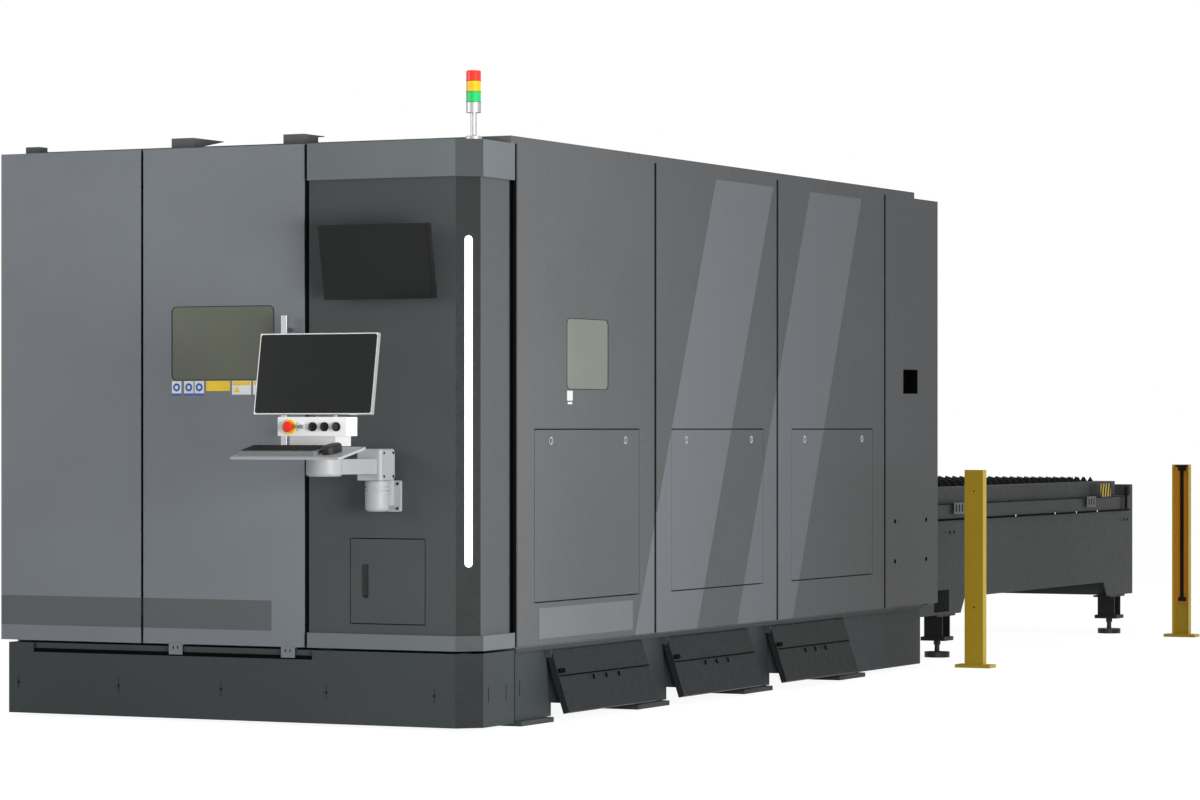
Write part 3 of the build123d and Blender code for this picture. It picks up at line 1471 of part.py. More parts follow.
# Cutting carriage: a plate that runs along the beam
carriage_back = gantry_front - linear_rail - slide_gap
carriage_front = carriage_back - carriage_thickness
carriage_bottom = gantry_top - gantry_height / 2 - carriage_height / 2
with BuildPart() as cutting_carriage:
    block(middle - carriage_width / 2, middle + carriage_width / 2, carriage_front,
          carriage_back, carriage_bottom, carriage_bottom + carriage_height)
    fillet(cutting_carriage.edges().filter_by(Axis.Y), linear_rail / 2)
save(cutting_carriage, "cutting_carriage")


# Cutting head: body and nozzle, moved up and down on the carriage
head_back = carriage_front - slide_gap
head_front = head_back - head_depth
nozzle_tip = pallet_upper + pallet_beam_height + slat_reach + nozzle_gap
head_low = nozzle_tip + nozzle_length
with BuildPart() as cutting_head:
    block(middle - head_width / 2, middle + head_width / 2, head_front, head_back,
          head_low, head_low + head_height)
    fillet(cutting_head.edges().filter_by(Axis.Z), linear_rail / 4)
    with Locations(Location((middle, (head_front + head_back) / 2, head_low - nozzle_length / 2),
                            (180, 0, 0))):
        Cone(nozzle_radius, nozzle_tip_radius, nozzle_length)
save(cutting_head, "cutting_head")


# Light curtain posts: channels on bolted base plates, their open sides facing each other
post_x = right + post_offset
with BuildPart() as curtain_posts:
    for start, opening in zip(post_starts, (1, -1)):
        y_low = front + start
        y_high = y_low + post_depth
        y_middle = (y_low + y_high) / 2
        block(post_x - post_width / 2, post_x + post_width / 2, y_low, y_high,
              post_base_thickness, post_height)
        shift = opening * post_wall
        block(post_x - post_width / 2 + post_wall, post_x + post_width / 2 - post_wall,
              y_low + shift, y_high + shift, post_base_thickness, post_height, mode=Mode.SUBTRACT)
        block(post_x - post_base_width / 2, post_x + post_base_width / 2,
              y_middle - post_base_depth / 2, y_middle + post_base_depth / 2,
              0, post_base_thickness)
        for x_side in (-1, 1):
            for y_side in (-1, 1):
                upright(post_x + x_side * (post_base_width / 2 - post_bolt_inset),
                        y_middle + y_side * (post_base_depth / 2 - post_bolt_inset),
                        post_bolt_radius, 0, post_base_thickness, mode=Mode.SUBTRACT)
        for z in post_hole_heights:
            facing(post_x, z, post_hole_radius, y_low - post_wall, y_high + post_wall,
                   mode=Mode.SUBTRACT)
save(curtain_posts, "curtain_posts")

with BuildPart() as curtain_bars:
    for start, opening in zip(post_starts, (1, -1)):
        y_middle = front + start + post_depth / 2
        web_y = y_middle - opening * (post_depth / 2 - post_wall)
        ends = sorted((web_y, web_y + opening * bar_depth))
        block(post_x - bar_width / 2, post_x + bar_width / 2, ends[0], ends[1],
              bar_bottom, bar_top)
save(curtain_bars, "curtain_bars")
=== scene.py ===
import json
from math import cos, pi, radians, sin

import bmesh
import bpy
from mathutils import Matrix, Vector


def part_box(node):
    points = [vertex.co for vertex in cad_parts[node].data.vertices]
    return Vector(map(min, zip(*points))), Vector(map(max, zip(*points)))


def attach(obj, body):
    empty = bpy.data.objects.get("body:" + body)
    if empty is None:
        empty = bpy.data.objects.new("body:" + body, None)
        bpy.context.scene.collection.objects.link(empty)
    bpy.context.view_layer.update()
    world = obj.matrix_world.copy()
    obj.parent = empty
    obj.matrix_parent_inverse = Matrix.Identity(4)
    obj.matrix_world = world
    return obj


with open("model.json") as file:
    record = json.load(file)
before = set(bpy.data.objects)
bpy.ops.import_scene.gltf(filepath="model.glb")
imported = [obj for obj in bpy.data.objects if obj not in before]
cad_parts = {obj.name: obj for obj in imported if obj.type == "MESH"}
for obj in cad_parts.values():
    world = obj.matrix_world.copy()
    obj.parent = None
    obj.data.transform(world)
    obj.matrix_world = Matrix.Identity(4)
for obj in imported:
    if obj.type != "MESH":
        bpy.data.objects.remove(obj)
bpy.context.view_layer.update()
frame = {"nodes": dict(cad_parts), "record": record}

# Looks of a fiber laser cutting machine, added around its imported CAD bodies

nodes = frame["nodes"]

# Lines of the machine that many pieces are placed from, in metres
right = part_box("side_panel_1")[1].x
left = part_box("front_left_panel")[0].x
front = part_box("front_left_panel")[0].y
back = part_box("side_panel_4")[1].y
cabin_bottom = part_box("side_panel_1")[0].z
cabin_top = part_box("side_panel_1")[1].z
table_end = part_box("table_frame")[1].y


# Materials

def node(tree, kind, **values):
    """Makes a shader node and sets its inputs by name."""
    made = tree.nodes.new(kind)
    for name, value in values.items():
        made.inputs[name.replace("_", " ")].default_value = value
    return made


def new_material(name):
    """Makes an empty material and returns it with its tree and its shader."""
    material = bpy.data.materials.new(name)
    material.use_nodes = True
    tree = material.node_tree
    shader = tree.nodes["Principled BSDF"]
    return material, tree, shader


def mixed(tree, share, first, second):
    """Joins two colours, or sockets of colour, by a share from 0 to 1."""
    mix = tree.nodes.new("ShaderNodeMix")
    mix.data_type = "RGBA"
    for socket, value in ((mix.inputs[0], share), (mix.inputs[6], first), (mix.inputs[7], second)):
        if isinstance(value, (tuple, float, int)):
            socket.default_value = value
        else:
            tree.links.new(value, socket)
    return mix.outputs[2]


def scaled(color, factor):
    """A colour made lighter or darker."""
    return tuple(min(1.0, channel * factor) for channel in color[:3]) + (1.0,)


def ramp(tree, source, low, high):
    """A share that goes from 0 to 1 as the source goes from low to high."""
    made = tree.nodes.new("ShaderNodeMapRange")
    made.inputs["From Min"].default_value = low
    made.inputs["From Max"].default_value = high
    tree.links.new(source, made.inputs["Value"])
    return made.outputs["Result"]


def place(tree):
    """Object coordinates, which move with the piece."""
    return tree.nodes.new("ShaderNodeTexCoord").outputs["Object"]


def noise(tree, scale, detail):
    """Noise in object space with about that many features a metre."""
    made = node(tree, "ShaderNodeTexNoise", Scale=scale, Detail=detail)
    tree.links.new(place(tree), made.inputs["Vector"])
    return made.outputs["Fac"]


def bump(tree, shader, height, strength, distance):
    """Roughens the surface of a shader."""
    made = node(tree, "ShaderNodeBump", Strength=strength, Distance=distance)
    tree.links.new(height, made.inputs["Height"])
    tree.links.new(made.outputs["Normal"], shader.inputs["Normal"])


def calculate(tree, operation, *values):
    """The result of a calculation on numbers or sockets."""
    made = tree.nodes.new("ShaderNodeMath")
    made.operation = operation
    for socket, value in zip(made.inputs, values):
        if isinstance(value, (float, int)):
            socket.default_value = value
        else:
            tree.links.new(value, socket)
    return made.outputs[0]


def times(tree, first, second):
    """The product of two shares."""
    return calculate(tree, "MULTIPLY", first, second)


def along(tree, axis, kind="Object"):
    """A coordinate of the place, or of the surface's direction where the kind is Normal."""
    split = tree.nodes.new("ShaderNodeSeparateXYZ")
    source = tree.nodes.new("ShaderNodeTexCoord").outputs[kind]
    tree.links.new(source, split.inputs[0])
    return split.outputs[axis]


def band(tree, axis, low, high):
    """A share that is 1 between two places along an axis and 0 elsewhere."""
    spot = along(tree, axis)
    above = calculate(tree, "GREATER_THAN", spot, low)
    below = calculate(tree, "LESS_THAN", spot, high)
    return times(tree, above, below)


speckle_color = (0.5, 0.51, 0.52, 1.0)


def powder(name, color, roughness, speckle, grain, paint=None, gloss=0.28):
    """Textured powder coat: a fine light speckle, faint clouds and an orange-peel surface."""
    material, tree, shader = new_material(name)
    shader.inputs["Specular IOR Level"].default_value = gloss
    clouds = ramp(tree, noise(tree, 1.6, 3.0), 0.35, 0.7)
    toned = mixed(tree, clouds, scaled(color, 0.95), scaled(color, 1.05))
    if paint:
        toned = paint(tree, toned)
    dots = ramp(tree, noise(tree, grain, 1.0), 0.56, 0.72)
    lighter = mixed(tree, times(tree, dots, speckle), toned, speckle_color)
    tree.links.new(lighter, shader.inputs["Base Color"])
    rough = ramp(tree, noise(tree, 30.0, 2.0), 0.2, 0.8)
    rough.node.inputs["To Min"].default_value = roughness - 0.05
    rough.node.inputs["To Max"].default_value = roughness + 0.06
    tree.links.new(rough, shader.inputs["Roughness"])
    bump(tree, shader, noise(tree, grain * 2.5, 2.0), 0.25, 0.0004)
    return material


def plastic(name, color, roughness, gloss=0.3):
    """Moulded plastic with a fine texture."""
    material, tree, shader = new_material(name)
    shader.inputs["Specular IOR Level"].default_value = gloss
    clouds = ramp(tree, noise(tree, 14.0, 3.0), 0.3, 0.7)
    tree.links.new(mixed(tree, clouds, scaled(color, 0.92), scaled(color, 1.08)),
                   shader.inputs["Base Color"])
    rough = ramp(tree, noise(tree, 60.0, 2.0), 0.2, 0.8)
    rough.node.inputs["To Min"].default_value = roughness - 0.05
    rough.node.inputs["To Max"].default_value = roughness + 0.05
    tree.links.new(rough, shader.inputs["Roughness"])
    bump(tree, shader, noise(tree, 900.0, 2.0), 0.12, 0.0002)
    return material


def metal(name, color, roughness, stretch=(1.0, 1.0, 40.0)):
    """Metal with fine lines that run along the axis with the smallest stretch."""
    material, tree, shader = new_material(name)
    mapping = tree.nodes.new("ShaderNodeMapping")
    mapping.inputs["Scale"].default_value = stretch
    tree.links.new(place(tree), mapping.inputs["Vector"])
    lines = node(tree, "ShaderNodeTexNoise", Scale=30.0, Detail=4.0)
    tree.links.new(mapping.outputs["Vector"], lines.inputs["Vector"])
    share = ramp(tree, lines.outputs["Fac"], 0.3, 0.7)
    tree.links.new(mixed(tree, share, scaled(color, 0.85), scaled(color, 1.1)),
                   shader.inputs["Base Color"])
    shader.inputs["Metallic"].default_value = 1.0
    rough = ramp(tree, lines.outputs["Fac"], 0.3, 0.7)
    rough.node.inputs["To Min"].default_value = roughness - 0.06
    rough.node.inputs["To Max"].default_value = roughness + 0.08
    tree.links.new(rough, shader.inputs["Roughness"])
    bump(tree, shader, lines.outputs["Fac"], 0.1, 0.0003)
    return material


def pane(name, color, roughness):
    """A tinted, nearly opaque safety pane with faint unevenness."""
    material, tree, shader = new_material(name)
    clouds = ramp(tree, noise(tree, 3.0, 2.0), 0.3, 0.7)
    tree.links.new(mixed(tree, clouds, scaled(color, 0.94), scaled(color, 1.06)),
                   shader.inputs["Base Color"])
    shader.inputs["Roughness"].default_value = roughness
    shader.inputs["Specular IOR Level"].default_value = 0.12
    bump(tree, shader, noise(tree, 5.0, 1.0), 0.02, 0.0006)
    return material


def glowing(name, color, strength):
    """A lamp's diffuser: plastic that gives light, a little uneven."""
    material, tree, shader = new_material(name)
    clouds = ramp(tree, noise(tree, 40.0, 2.0), 0.2, 0.8)
    tone = mixed(tree, clouds, scaled(color, 0.9), scaled(color, 1.0))
    tree.links.new(tone, shader.inputs["Base Color"])
    tree.links.new(tone, shader.inputs["Emission Color"])
    shader.inputs["Emission Strength"].default_value = strength
    shader.inputs["Roughness"].default_value = 0.3
    return material


# Paints of the door and the long side, with the stripe and the slanted bands painted on them
door_color = (0.165, 0.181, 0.2)
stripe_color = (0.085, 0.09, 0.095, 1.0)
stripe_low = 0.372
stripe_high = 0.492
stripe_end = left + 1.28
panel_color = (0.106, 0.11, 0.113)
graphic_color = (0.172, 0.186, 0.2, 1.0)
band_slope = 0.42
band_starts = (1.62, 2.66)
band_width = 0.62
bands_top = 2.26

# Tones of the console, the exchange table and the light curtain posts, with painted shade on
# slanted corners and painted light on the posts
# Painted shade: slanted corners keep this share of their colour
corner_shade = 0.31
console_side_color = (0.092, 0.096, 0.098, 1.0)
console_side_depth = 0.0135
slat_color = (0.012, 0.012, 0.012, 1.0)
pallet_beam_width = 0.041
leg_color = (0.016, 0.017, 0.018, 1.0)
leg_top = 0.222
# Painted light: the paler yellow of the posts' sides
post_painted_light_color = (0.95, 0.67, 0.04, 1.0)
channel_color = (0.62, 0.24, 0.012, 1.0)
channel_width = 0.087
channel_back = 0.067
channel_front = 0.02
channel_bottom = 0.19


def door_stripe(tree, base):
    """A darker stripe low on the door and the fixed panel."""
    share = times(tree, band(tree, 2, stripe_low, stripe_high),
                  band(tree, 0, left - 1.0, stripe_end))
    return mixed(tree, share, base, stripe_color)


def slanted_bands(tree, base):
    """Two lighter parallel bands that lean back across the long side."""
    lean = calculate(tree, "MULTIPLY_ADD", along(tree, 2), -band_slope, along(tree, 1))
    reach = times(tree, band(tree, 2, cabin_bottom, bands_top), band(tree, 0, 0.0, right + 1.0))
    color = base
    for start in band_starts:
        inside = calculate(tree, "COMPARE", lean, front + start, band_width / 2)
        color = mixed(tree, times(tree, inside, reach), color, graphic_color)
    return color


def painted_corner_shade(tree, base):
    """Painted shade: a darker grey on the console's slanted corner, which faces right and forward.
    """
    to_right = ramp(tree, along(tree, 0, "Normal"), 0.3, 0.5)
    to_front = ramp(tree, along(tree, 1, "Normal"), -0.3, -0.5)
    share = times(tree, times(tree, to_right, to_front), 1 - corner_shade)
    return mixed(tree, share, base, (0.0, 0.0, 0.0, 1.0))


def console_tones_and_corner_shade(tree, base):
    """The console is dark in front and panel grey on its side, with painted shade on its slanted
    corner.
    """
    share = band(tree, 0, right - console_side_depth, right + 1.0)
    return mixed(tree, share, painted_corner_shade(tree, base), console_side_color)


def dark_slats(tree, base):
    """The slats between a pallet's beams are darker than the beams."""
    low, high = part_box("upper_pallet")
    share = band(tree, 0, low.x + pallet_beam_width, high.x - pallet_beam_width)
    return mixed(tree, share, base, slat_color)


def dark_legs(tree, base):
    """The legs under the table are nearly black."""
    return mixed(tree, band(tree, 2, -1.0, leg_top), base, leg_color)


def post_paint_and_painted_light(tree, base):
    """The light curtain posts: paler on their sides as painted light, orange inside the far
    channel.
    """
    low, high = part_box("curtain_posts")
    middle = (low.x + high.x) / 2
    across = band(tree, 0, middle - channel_width / 2, middle + channel_width / 2)
    deep = band(tree, 1, high.y - channel_back, high.y - channel_front)
    tall = band(tree, 2, channel_bottom, high.z)
    inside = times(tree, across, times(tree, deep, tall))
    # Painted light: faces turned toward +x take the paler, lit yellow
    sides = ramp(tree, along(tree, 0, "Normal"), 0.4, 0.9)
    return mixed(tree, inside, mixed(tree, sides, base, post_painted_light_color), channel_color)


materials = {
    "door_grey": powder("door paint", door_color, 0.42, 0.03, 420.0, door_stripe),
    "panel_grey": powder("panel paint", panel_color, 0.5, 0.12, 240.0, slanted_bands, 0.14),
    "header_grey": powder("header paint", (0.135, 0.15, 0.158), 0.42, 0.03, 420.0, painted_corner_shade,
                          0.16),
    "console_dark": powder("console paint", (0.063, 0.07, 0.071), 0.55, 0.03, 300.0,
                           console_tones_and_corner_shade, 0.1),
    "base_dark": powder("base paint", (0.046, 0.053, 0.055), 0.5, 0.03, 300.0, painted_corner_shade,
                        0.1),
    "flap_dark": powder("flap paint", (0.012, 0.015, 0.016), 0.5, 0.05, 260.0, gloss=0.1),
    "bed_grey": powder("frame paint", (0.1, 0.105, 0.11), 0.5, 0.03, 300.0),
    "table_dark": powder("table paint", (0.05, 0.056, 0.058), 0.5, 0.04, 300.0, dark_legs, 0.15),
    "window_green": pane("safety pane", (0.14, 0.148, 0.114), 0.14),
    "bright_steel": metal("brushed steel", (0.34, 0.35, 0.36), 0.34),
    "light_metal": metal("satin aluminium", (0.46, 0.46, 0.46), 0.42),
    "foot_steel": metal("black oxide steel", (0.035, 0.035, 0.034), 0.45, (6.0, 6.0, 6.0)),
    "pallet_steel": powder("pallet paint", (0.045, 0.05, 0.052), 0.5, 0.04, 300.0, dark_slats,
                           0.15),
    # Painted shade: the arm's white is a darker copy of the white of the control box and head
    "arm_white": powder("arm paint", (0.37, 0.376, 0.381), 0.42, 0.0, 500.0),
    "screen_black": plastic("black plastic", (0.014, 0.014, 0.015), 0.4, gloss=0.2),
    "bar_black": plastic("black cover", (0.006, 0.006, 0.006), 0.5, gloss=0.1),
    "stop_red": plastic("red plastic", (0.86, 0.02, 0.012), 0.35),
    "button_green": plastic("dark button", (0.02, 0.022, 0.022), 0.3),
    "strip_white": glowing("light strip", (1.0, 1.0, 1.0), 1.1),
    "lens_green": glowing("green lens", (0.0, 0.45, 0.1), 0.35),
    "lens_amber": glowing("amber lens", (0.85, 0.42, 0.0), 0.35),
    "lens_red": glowing("red lens", (0.78, 0.02, 0.01), 0.35),
    # Painted shade: the posts' yellow is darkened for their fronts, and their sides take a paler,
    # lit yellow
    "post_yellow": powder("yellow paint", (0.4, 0.265, 0.014), 0.42, 0.0, 400.0, post_paint_and_painted_light),
}
glass_black = pane("screen glass", (0.014, 0.015, 0.015), 0.2)
rubber = plastic("black rubber", (0.008, 0.008, 0.008), 0.6, gloss=0.12)
# Black plastic for the lock barrels and the tower's rings, also used as painted shade: black fills
# in gaps, slots, holes, grooves and openings
black_and_painted_shade = plastic("dark seam", (0.002, 0.002, 0.002), 0.8, gloss=0.03)
chrome = metal("bright metal", (0.75, 0.75, 0.76), 0.18)
yellow = plastic("yellow ring", (0.86, 0.6, 0.025), 0.4)
blue = plastic("blue label", (0.03, 0.1, 0.42), 0.45)
white = plastic("white label", (0.78, 0.79, 0.8), 0.45)
label_grey = powder("label plate", (0.158, 0.166, 0.17), 0.45, 0.04, 400.0)

# Nodes whose surface differs a little from the rest of their slot
special = {
    "side_window": pane("pale safety pane", (0.19, 0.21, 0.176), 0.18),
    # Painted light: the control box and the head take lighter copies of the arm's white paint
    "control_box": powder("control box paint", (0.92, 0.92, 0.92), 0.38, 0.0, 500.0),
    "arm_head": powder("head paint", (0.62, 0.625, 0.63), 0.38, 0.0, 500.0),
    "wall_screen": plastic("wall screen case", (0.006, 0.006, 0.006), 0.4, gloss=0.2),
    # Painted highlight: the keyboard's body is light grey so the gaps and sides of the black key
    # caps show as glints
    "keyboard": plastic("keyboard body", (0.22, 0.225, 0.23), 0.45),
}
record = frame["record"]
slots = {entry["node"]: entry["material_slot"] for entry in record["subparts"]}
for name, piece in nodes.items():
    piece.data.materials.clear()
    piece.data.materials.append(special.get(name, materials[slots[name]]))


# Mesh helpers. Each adds a closed form to a mesh that becomes one piece

def add_box(mesh, low, high, edge):
    """Adds a box between two corners with its edges rounded off."""
    made = bmesh.ops.create_cube(mesh, size=1.0)
    corners = made["verts"]
    low, high = Vector(low), Vector(high)
    size = high - low
    for vertex in corners:
        vertex.co = (low + high) / 2 + vertex.co * size
    edges = list({line for vertex in corners for line in vertex.link_edges})
    bmesh.ops.bevel(mesh, geom=edges, offset=min(edge, min(size) * 0.4), segments=2,
                    affect="EDGES", profile=0.7)


def add_turned(mesh, origin, axis, profile, sides):
    """Adds a turned form from its (radius, height) outline along an axis."""
    axis = Vector(axis).normalized()
    turn = Vector((0, 0, 1)).rotation_difference(axis).to_matrix()
    rings = []
    for radius, height in profile:
        ring = []
        for index in range(sides):
            angle = 2 * pi * index / sides
            spot = Vector((radius * cos(angle), radius * sin(angle), height))
            ring.append(mesh.verts.new(Vector(origin) + turn @ spot))
        rings.append(ring)
    for lower, upper in zip(rings, rings[1:]):
        for index in range(sides):
            other = (index + 1) % sides
            mesh.faces.new((lower[index], lower[other], upper[other], upper[index]))
    mesh.faces.new(list(reversed(rings[0])))
    mesh.faces.new(rings[-1])


def add_bolt(mesh, origin, axis, radius, sides):
    """Adds a washer and a chamfered head, round where it has many sides."""
    add_turned(mesh, origin, axis, [(radius * 1.35, 0), (radius * 1.35, radius * 0.18)], 24)
    height = radius * 0.9
    base = radius * 0.18
    add_turned(mesh, origin, axis, [(radius, base), (radius, base + height * 0.8),
                                    (radius * 0.85, base + height)], sides)


def finish_piece(mesh, name, body, material):
    """Turns a mesh into a smooth object that rides on a body and takes a material slot."""
    bmesh.ops.recalc_face_normals(mesh, faces=mesh.faces[:])
    data = bpy.data.meshes.new(name)
    mesh.to_mesh(data)
    mesh.free()
    made = bpy.data.objects.new(name, data)
    bpy.context.scene.collection.objects.link(made)
    data.materials.append(material)
    for face in data.polygons:
        face.use_smooth = True
    edges = made.modifiers.new("edges", "EDGE_SPLIT")
    edges.split_angle = radians(32)
    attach(made, body)


def rounded(width, height, radius, steps=6):
    """The outline of a rectangle with round corners, centred on its middle."""
    points = []
    for x_side, y_side, start in ((1, 1, 0), (-1, 1, 90), (-1, -1, 180), (1, -1, 270)):
        for step in range(steps + 1):
            angle = radians(start + 90 * step / steps)
            points.append((x_side * (width / 2 - radius) + radius * cos(angle),
                           y_side * (height / 2 - radius) + radius * sin(angle)))
    return points


def circle(radius, sides=32):
    """The outline of a circle."""
    return [(radius * cos(2 * pi * index / sides), radius * sin(2 * pi * index / sides))
            for index in range(sides)]


def add_loops(mesh, origin, plane, loops, closed):
    """Joins outlines at given heights over a plane, each a (points, height) pair."""
    across, up = Vector(plane[0]), Vector(plane[1])
    normal = across.cross(up)
    layers = [[mesh.verts.new(Vector(origin) + across * point[0] + up * point[1]
                              + normal * height) for point in points]
              for points, height in loops]
    pairs = list(zip(layers, layers[1:]))
    if closed:
        pairs.append((layers[-1], layers[0]))
    else:
        mesh.faces.new(list(reversed(layers[0])))
        mesh.faces.new(layers[-1])
    for lower, upper in pairs:
        for index in range(len(lower)):
            other = (index + 1) % len(lower)
            mesh.faces.new((lower[index], lower[other], upper[other], upper[index]))


def add_plate(mesh, origin, plane, points, low, high):
    """Adds a flat plate between two heights over a plane."""
    add_loops(mesh, origin, plane, [(points, low), (points, high)], False)


def add_frame(mesh, origin, plane, outer, inner, low, high):
    """Adds a flat ring or frame between two outlines with as many corners each."""
    add_loops(mesh, origin, plane, [(outer, low), (outer, high), (inner, high), (inner, low)],
              True)


def center_of(name):
    """The middle of a node's box."""
    low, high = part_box(name)
    return (low + high) / 2


faces_front = ((1, 0, 0), (0, 0, 1))
faces_side = ((0, 1, 0), (0, 0, 1))
faces_up = ((1, 0, 0), (0, 1, 0))
door_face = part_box("door_handle")[1].y


# Painted shade: black strips in the gaps between the panels of the long side, and down both edges
# of the sliding door, stand for the shade in those gaps
shade_strip_inset = 0.004
side_shade_strip_depth = 0.017
door_shade_strip_depth = 0.026
door_shade_strip_width = 0.004
shade_strip_play = 0.0005
shade_strip_end_gap = 0.002
mesh = bmesh.new()
side_names = [f"side_panel_{index}" for index in range(1, 5)]
seam_starts = [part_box(name)[1].y for name in ["console_bands"] + side_names[:3]]
for start, name in zip(seam_starts, side_names):
    add_box(mesh,
            (right - shade_strip_inset - side_shade_strip_depth, start + shade_strip_play, cabin_bottom + shade_strip_end_gap),
            (right - shade_strip_inset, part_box(name)[0].y - shade_strip_play, cabin_top - shade_strip_end_gap), 0.0015)
door_low, door_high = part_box("door_leaf")
console_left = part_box("console_bands")[0].x
shade_strip_front = door_face + shade_strip_inset
shade_strip_back = shade_strip_front + door_shade_strip_depth
add_box(mesh, (door_high.x + 0.0015, shade_strip_front, cabin_bottom + shade_strip_end_gap),
        (console_left - shade_strip_play, shade_strip_back, cabin_top - shade_strip_end_gap), 0.0015)
finish_piece(mesh, "panel_gap_shade", "machine", black_and_painted_shade)

mesh = bmesh.new()
add_box(mesh, (door_low.x - shade_strip_play - door_shade_strip_width, shade_strip_front, cabin_bottom + 0.004),
        (door_low.x - shade_strip_play, shade_strip_back, cabin_top - 0.006), 0.0012)
finish_piece(mesh, "door_gap_shade", "door", black_and_painted_shade)


# Gaskets round the two windows, whose panes reach behind the edges of their panels
window_lap = 0.014
for name, plane, face, body in (("door_window", faces_front, door_face, "door"),
                                ("side_window", faces_side, right, "machine")):
    low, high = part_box(name)
    window_middle = (low + high) / 2
    if plane is faces_front:
        origin = (window_middle.x, face, window_middle.z)
        width = high.x - low.x - 2 * window_lap
    else:
        origin = (face, window_middle.y, window_middle.z)
        width = high.y - low.y - 2 * window_lap
    height = high.z - low.z - 2 * window_lap
    mesh = bmesh.new()
    add_frame(mesh, origin, plane, rounded(width + 0.003, height + 0.003, 0.0225),
              rounded(width - 0.002, height - 0.002, 0.02), -0.002, 0.0008)
    finish_piece(mesh, name + "_gasket", body, rubber)

# Blank stickers in a row under the door's window: three white and blue, the rest yellow
window_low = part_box("door_window")[0]
row_left = window_low.x + window_lap
row_top = window_low.z + window_lap - 0.004
film = 0.0003
sign_starts = (0.0, 0.057, 0.106)
sign_width = 0.044
sign_height = 0.058
notice_starts = (0.281, 0.378)
notice_width = 0.088
notice_height = 0.055
triangle = [(-0.014, -0.011), (0.014, -0.011), (0.0, 0.013)]
white_stickers = bmesh.new()
blue_stickers = bmesh.new()
yellow_stickers = bmesh.new()


def add_sticker(mesh, start, width, top, height, level=1):
    """Adds a sticker to the row, from its distance along the row and below the row's top."""
    origin = (row_left + start + width / 2, door_face, row_top - top - height / 2)
    add_plate(mesh, origin, faces_front, rounded(width, height, 0.001, 2), 0, film * level)


for start in sign_starts:
    disc = (row_left + start + sign_width / 2, door_face, row_top - 0.025)
    add_sticker(white_stickers, start, sign_width, 0.0, sign_height)
    add_sticker(blue_stickers, start, sign_width, 0.049, 0.009, 2)
    add_plate(blue_stickers, disc, faces_front, circle(0.0165), 0, film * 2)
    add_plate(white_stickers, disc, faces_front, circle(0.0075), 0, film * 3)
add_sticker(yellow_stickers, 0.16, 0.112, 0.0, 0.04)
for start in notice_starts:
    add_sticker(white_stickers, start, notice_width, 0.0, notice_height)
    add_sticker(yellow_stickers, start + 0.003, notice_width - 0.006, 0.002, 0.016, 2)
    add_plate(yellow_stickers, (row_left + start + 0.023, door_face, row_top - 0.035),
              faces_front, triangle, 0, film * 2)
finish_piece(white_stickers, "door_stickers_white", "door", white)
finish_piece(blue_stickers, "door_stickers_blue", "door", blue)
finish_piece(yellow_stickers, "door_stickers_yellow", "door", yellow)

# Two small white stickers under the window of the long side
mesh = bmesh.new()
side_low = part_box("side_window")[0]
sticker_y = side_low.y + 0.04
for drop, outline in ((0.013, rounded(0.05, 0.04, 0.002, 2)),
                      (0.043, rounded(0.04, 0.009, 0.001, 2))):
    add_plate(mesh, (right, sticker_y, side_low.z - drop), faces_side, outline, 0, 0.0004)
finish_piece(mesh, "side_sticker", "machine", white)

# Blank label plate low on the long side, with a rivet in each corner
label_middle = (right, front + 0.987, 0.3955)
label_width = 0.861
label_height = 0.123
label_sheet = 0.001
rivet_y = label_width / 2 - 0.0105
rivet_z = label_height / 2 - 0.0105
mesh = bmesh.new()
add_plate(mesh, label_middle, faces_side, rounded(label_width, label_height, 0.003, 3), 0,
          label_sheet)
for y_reach in (-rivet_y, rivet_y):
    for z_reach in (-rivet_z, rivet_z):
        spot = Vector(label_middle) + Vector((label_sheet, y_reach, z_reach))
        add_bolt(mesh, spot, (1, 0, 0), 0.0016, 12)
finish_piece(mesh, "label_plate", "machine", label_grey)

# Locks of the service hatches: a bright ring round a black barrel with a key slot
lock_reach = 0.343
lock_drop = 0.044
lock_radius = 0.0155
barrel_radius = 0.0115
for index in range(1, 4):
    low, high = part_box(f"service_hatch_{index}")
    rings = bmesh.new()
    barrels = bmesh.new()
    for side in (-1, 1):
        spot = (high.x, (low.y + high.y) / 2 + side * lock_reach, high.z - lock_drop)
        add_frame(rings, spot, faces_side, circle(lock_radius), circle(barrel_radius), -0.0015,
                  0.0014)
        add_plate(rings, spot, faces_side, rounded(0.004, 0.017, 0.0015, 3), 0.0004, 0.0018)
        add_plate(barrels, spot, faces_side, circle(barrel_radius), -0.0005, 0.0006)
    finish_piece(rings, f"hatch_{index}_lock_rings", f"service_hatch_{index}", chrome)
    finish_piece(barrels, f"hatch_{index}_lock_barrels", f"service_hatch_{index}", black_and_painted_shade)

# Rear section of the long side: painted shade as a black back and sides inside the port, and four
# black plugs
port_width = 0.192
port_height = 0.118
port_depth = 0.055
port_start = 4.447
port_bottom = 1.342
port_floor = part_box("side_panel_4")[0].x + 0.0035
port_middle = (port_floor, front + port_start + port_width / 2, port_bottom + port_height / 2)
plug_reaches = (4.342, 4.749)
plug_heights = (0.532, 0.725)
mesh = bmesh.new()
add_plate(mesh, port_middle, faces_side,
          rounded(port_width - 0.008, port_height - 0.008, 0.004, 3), 0, 0.001)
add_frame(mesh, port_middle, faces_side,
          rounded(port_width - 0.002, port_height - 0.002, 0.004, 3),
          rounded(port_width - 0.008, port_height - 0.008, 0.003, 3), 0, port_depth)
for y_reach in plug_reaches:
    for height in plug_heights:
        add_turned(mesh, (right, front + y_reach, height), (1, 0, 0),
                   [(0.011, 0), (0.011, 0.0015), (0.007, 0.003)], 20)
finish_piece(mesh, "port_shade_and_plugs", "machine", black_and_painted_shade)

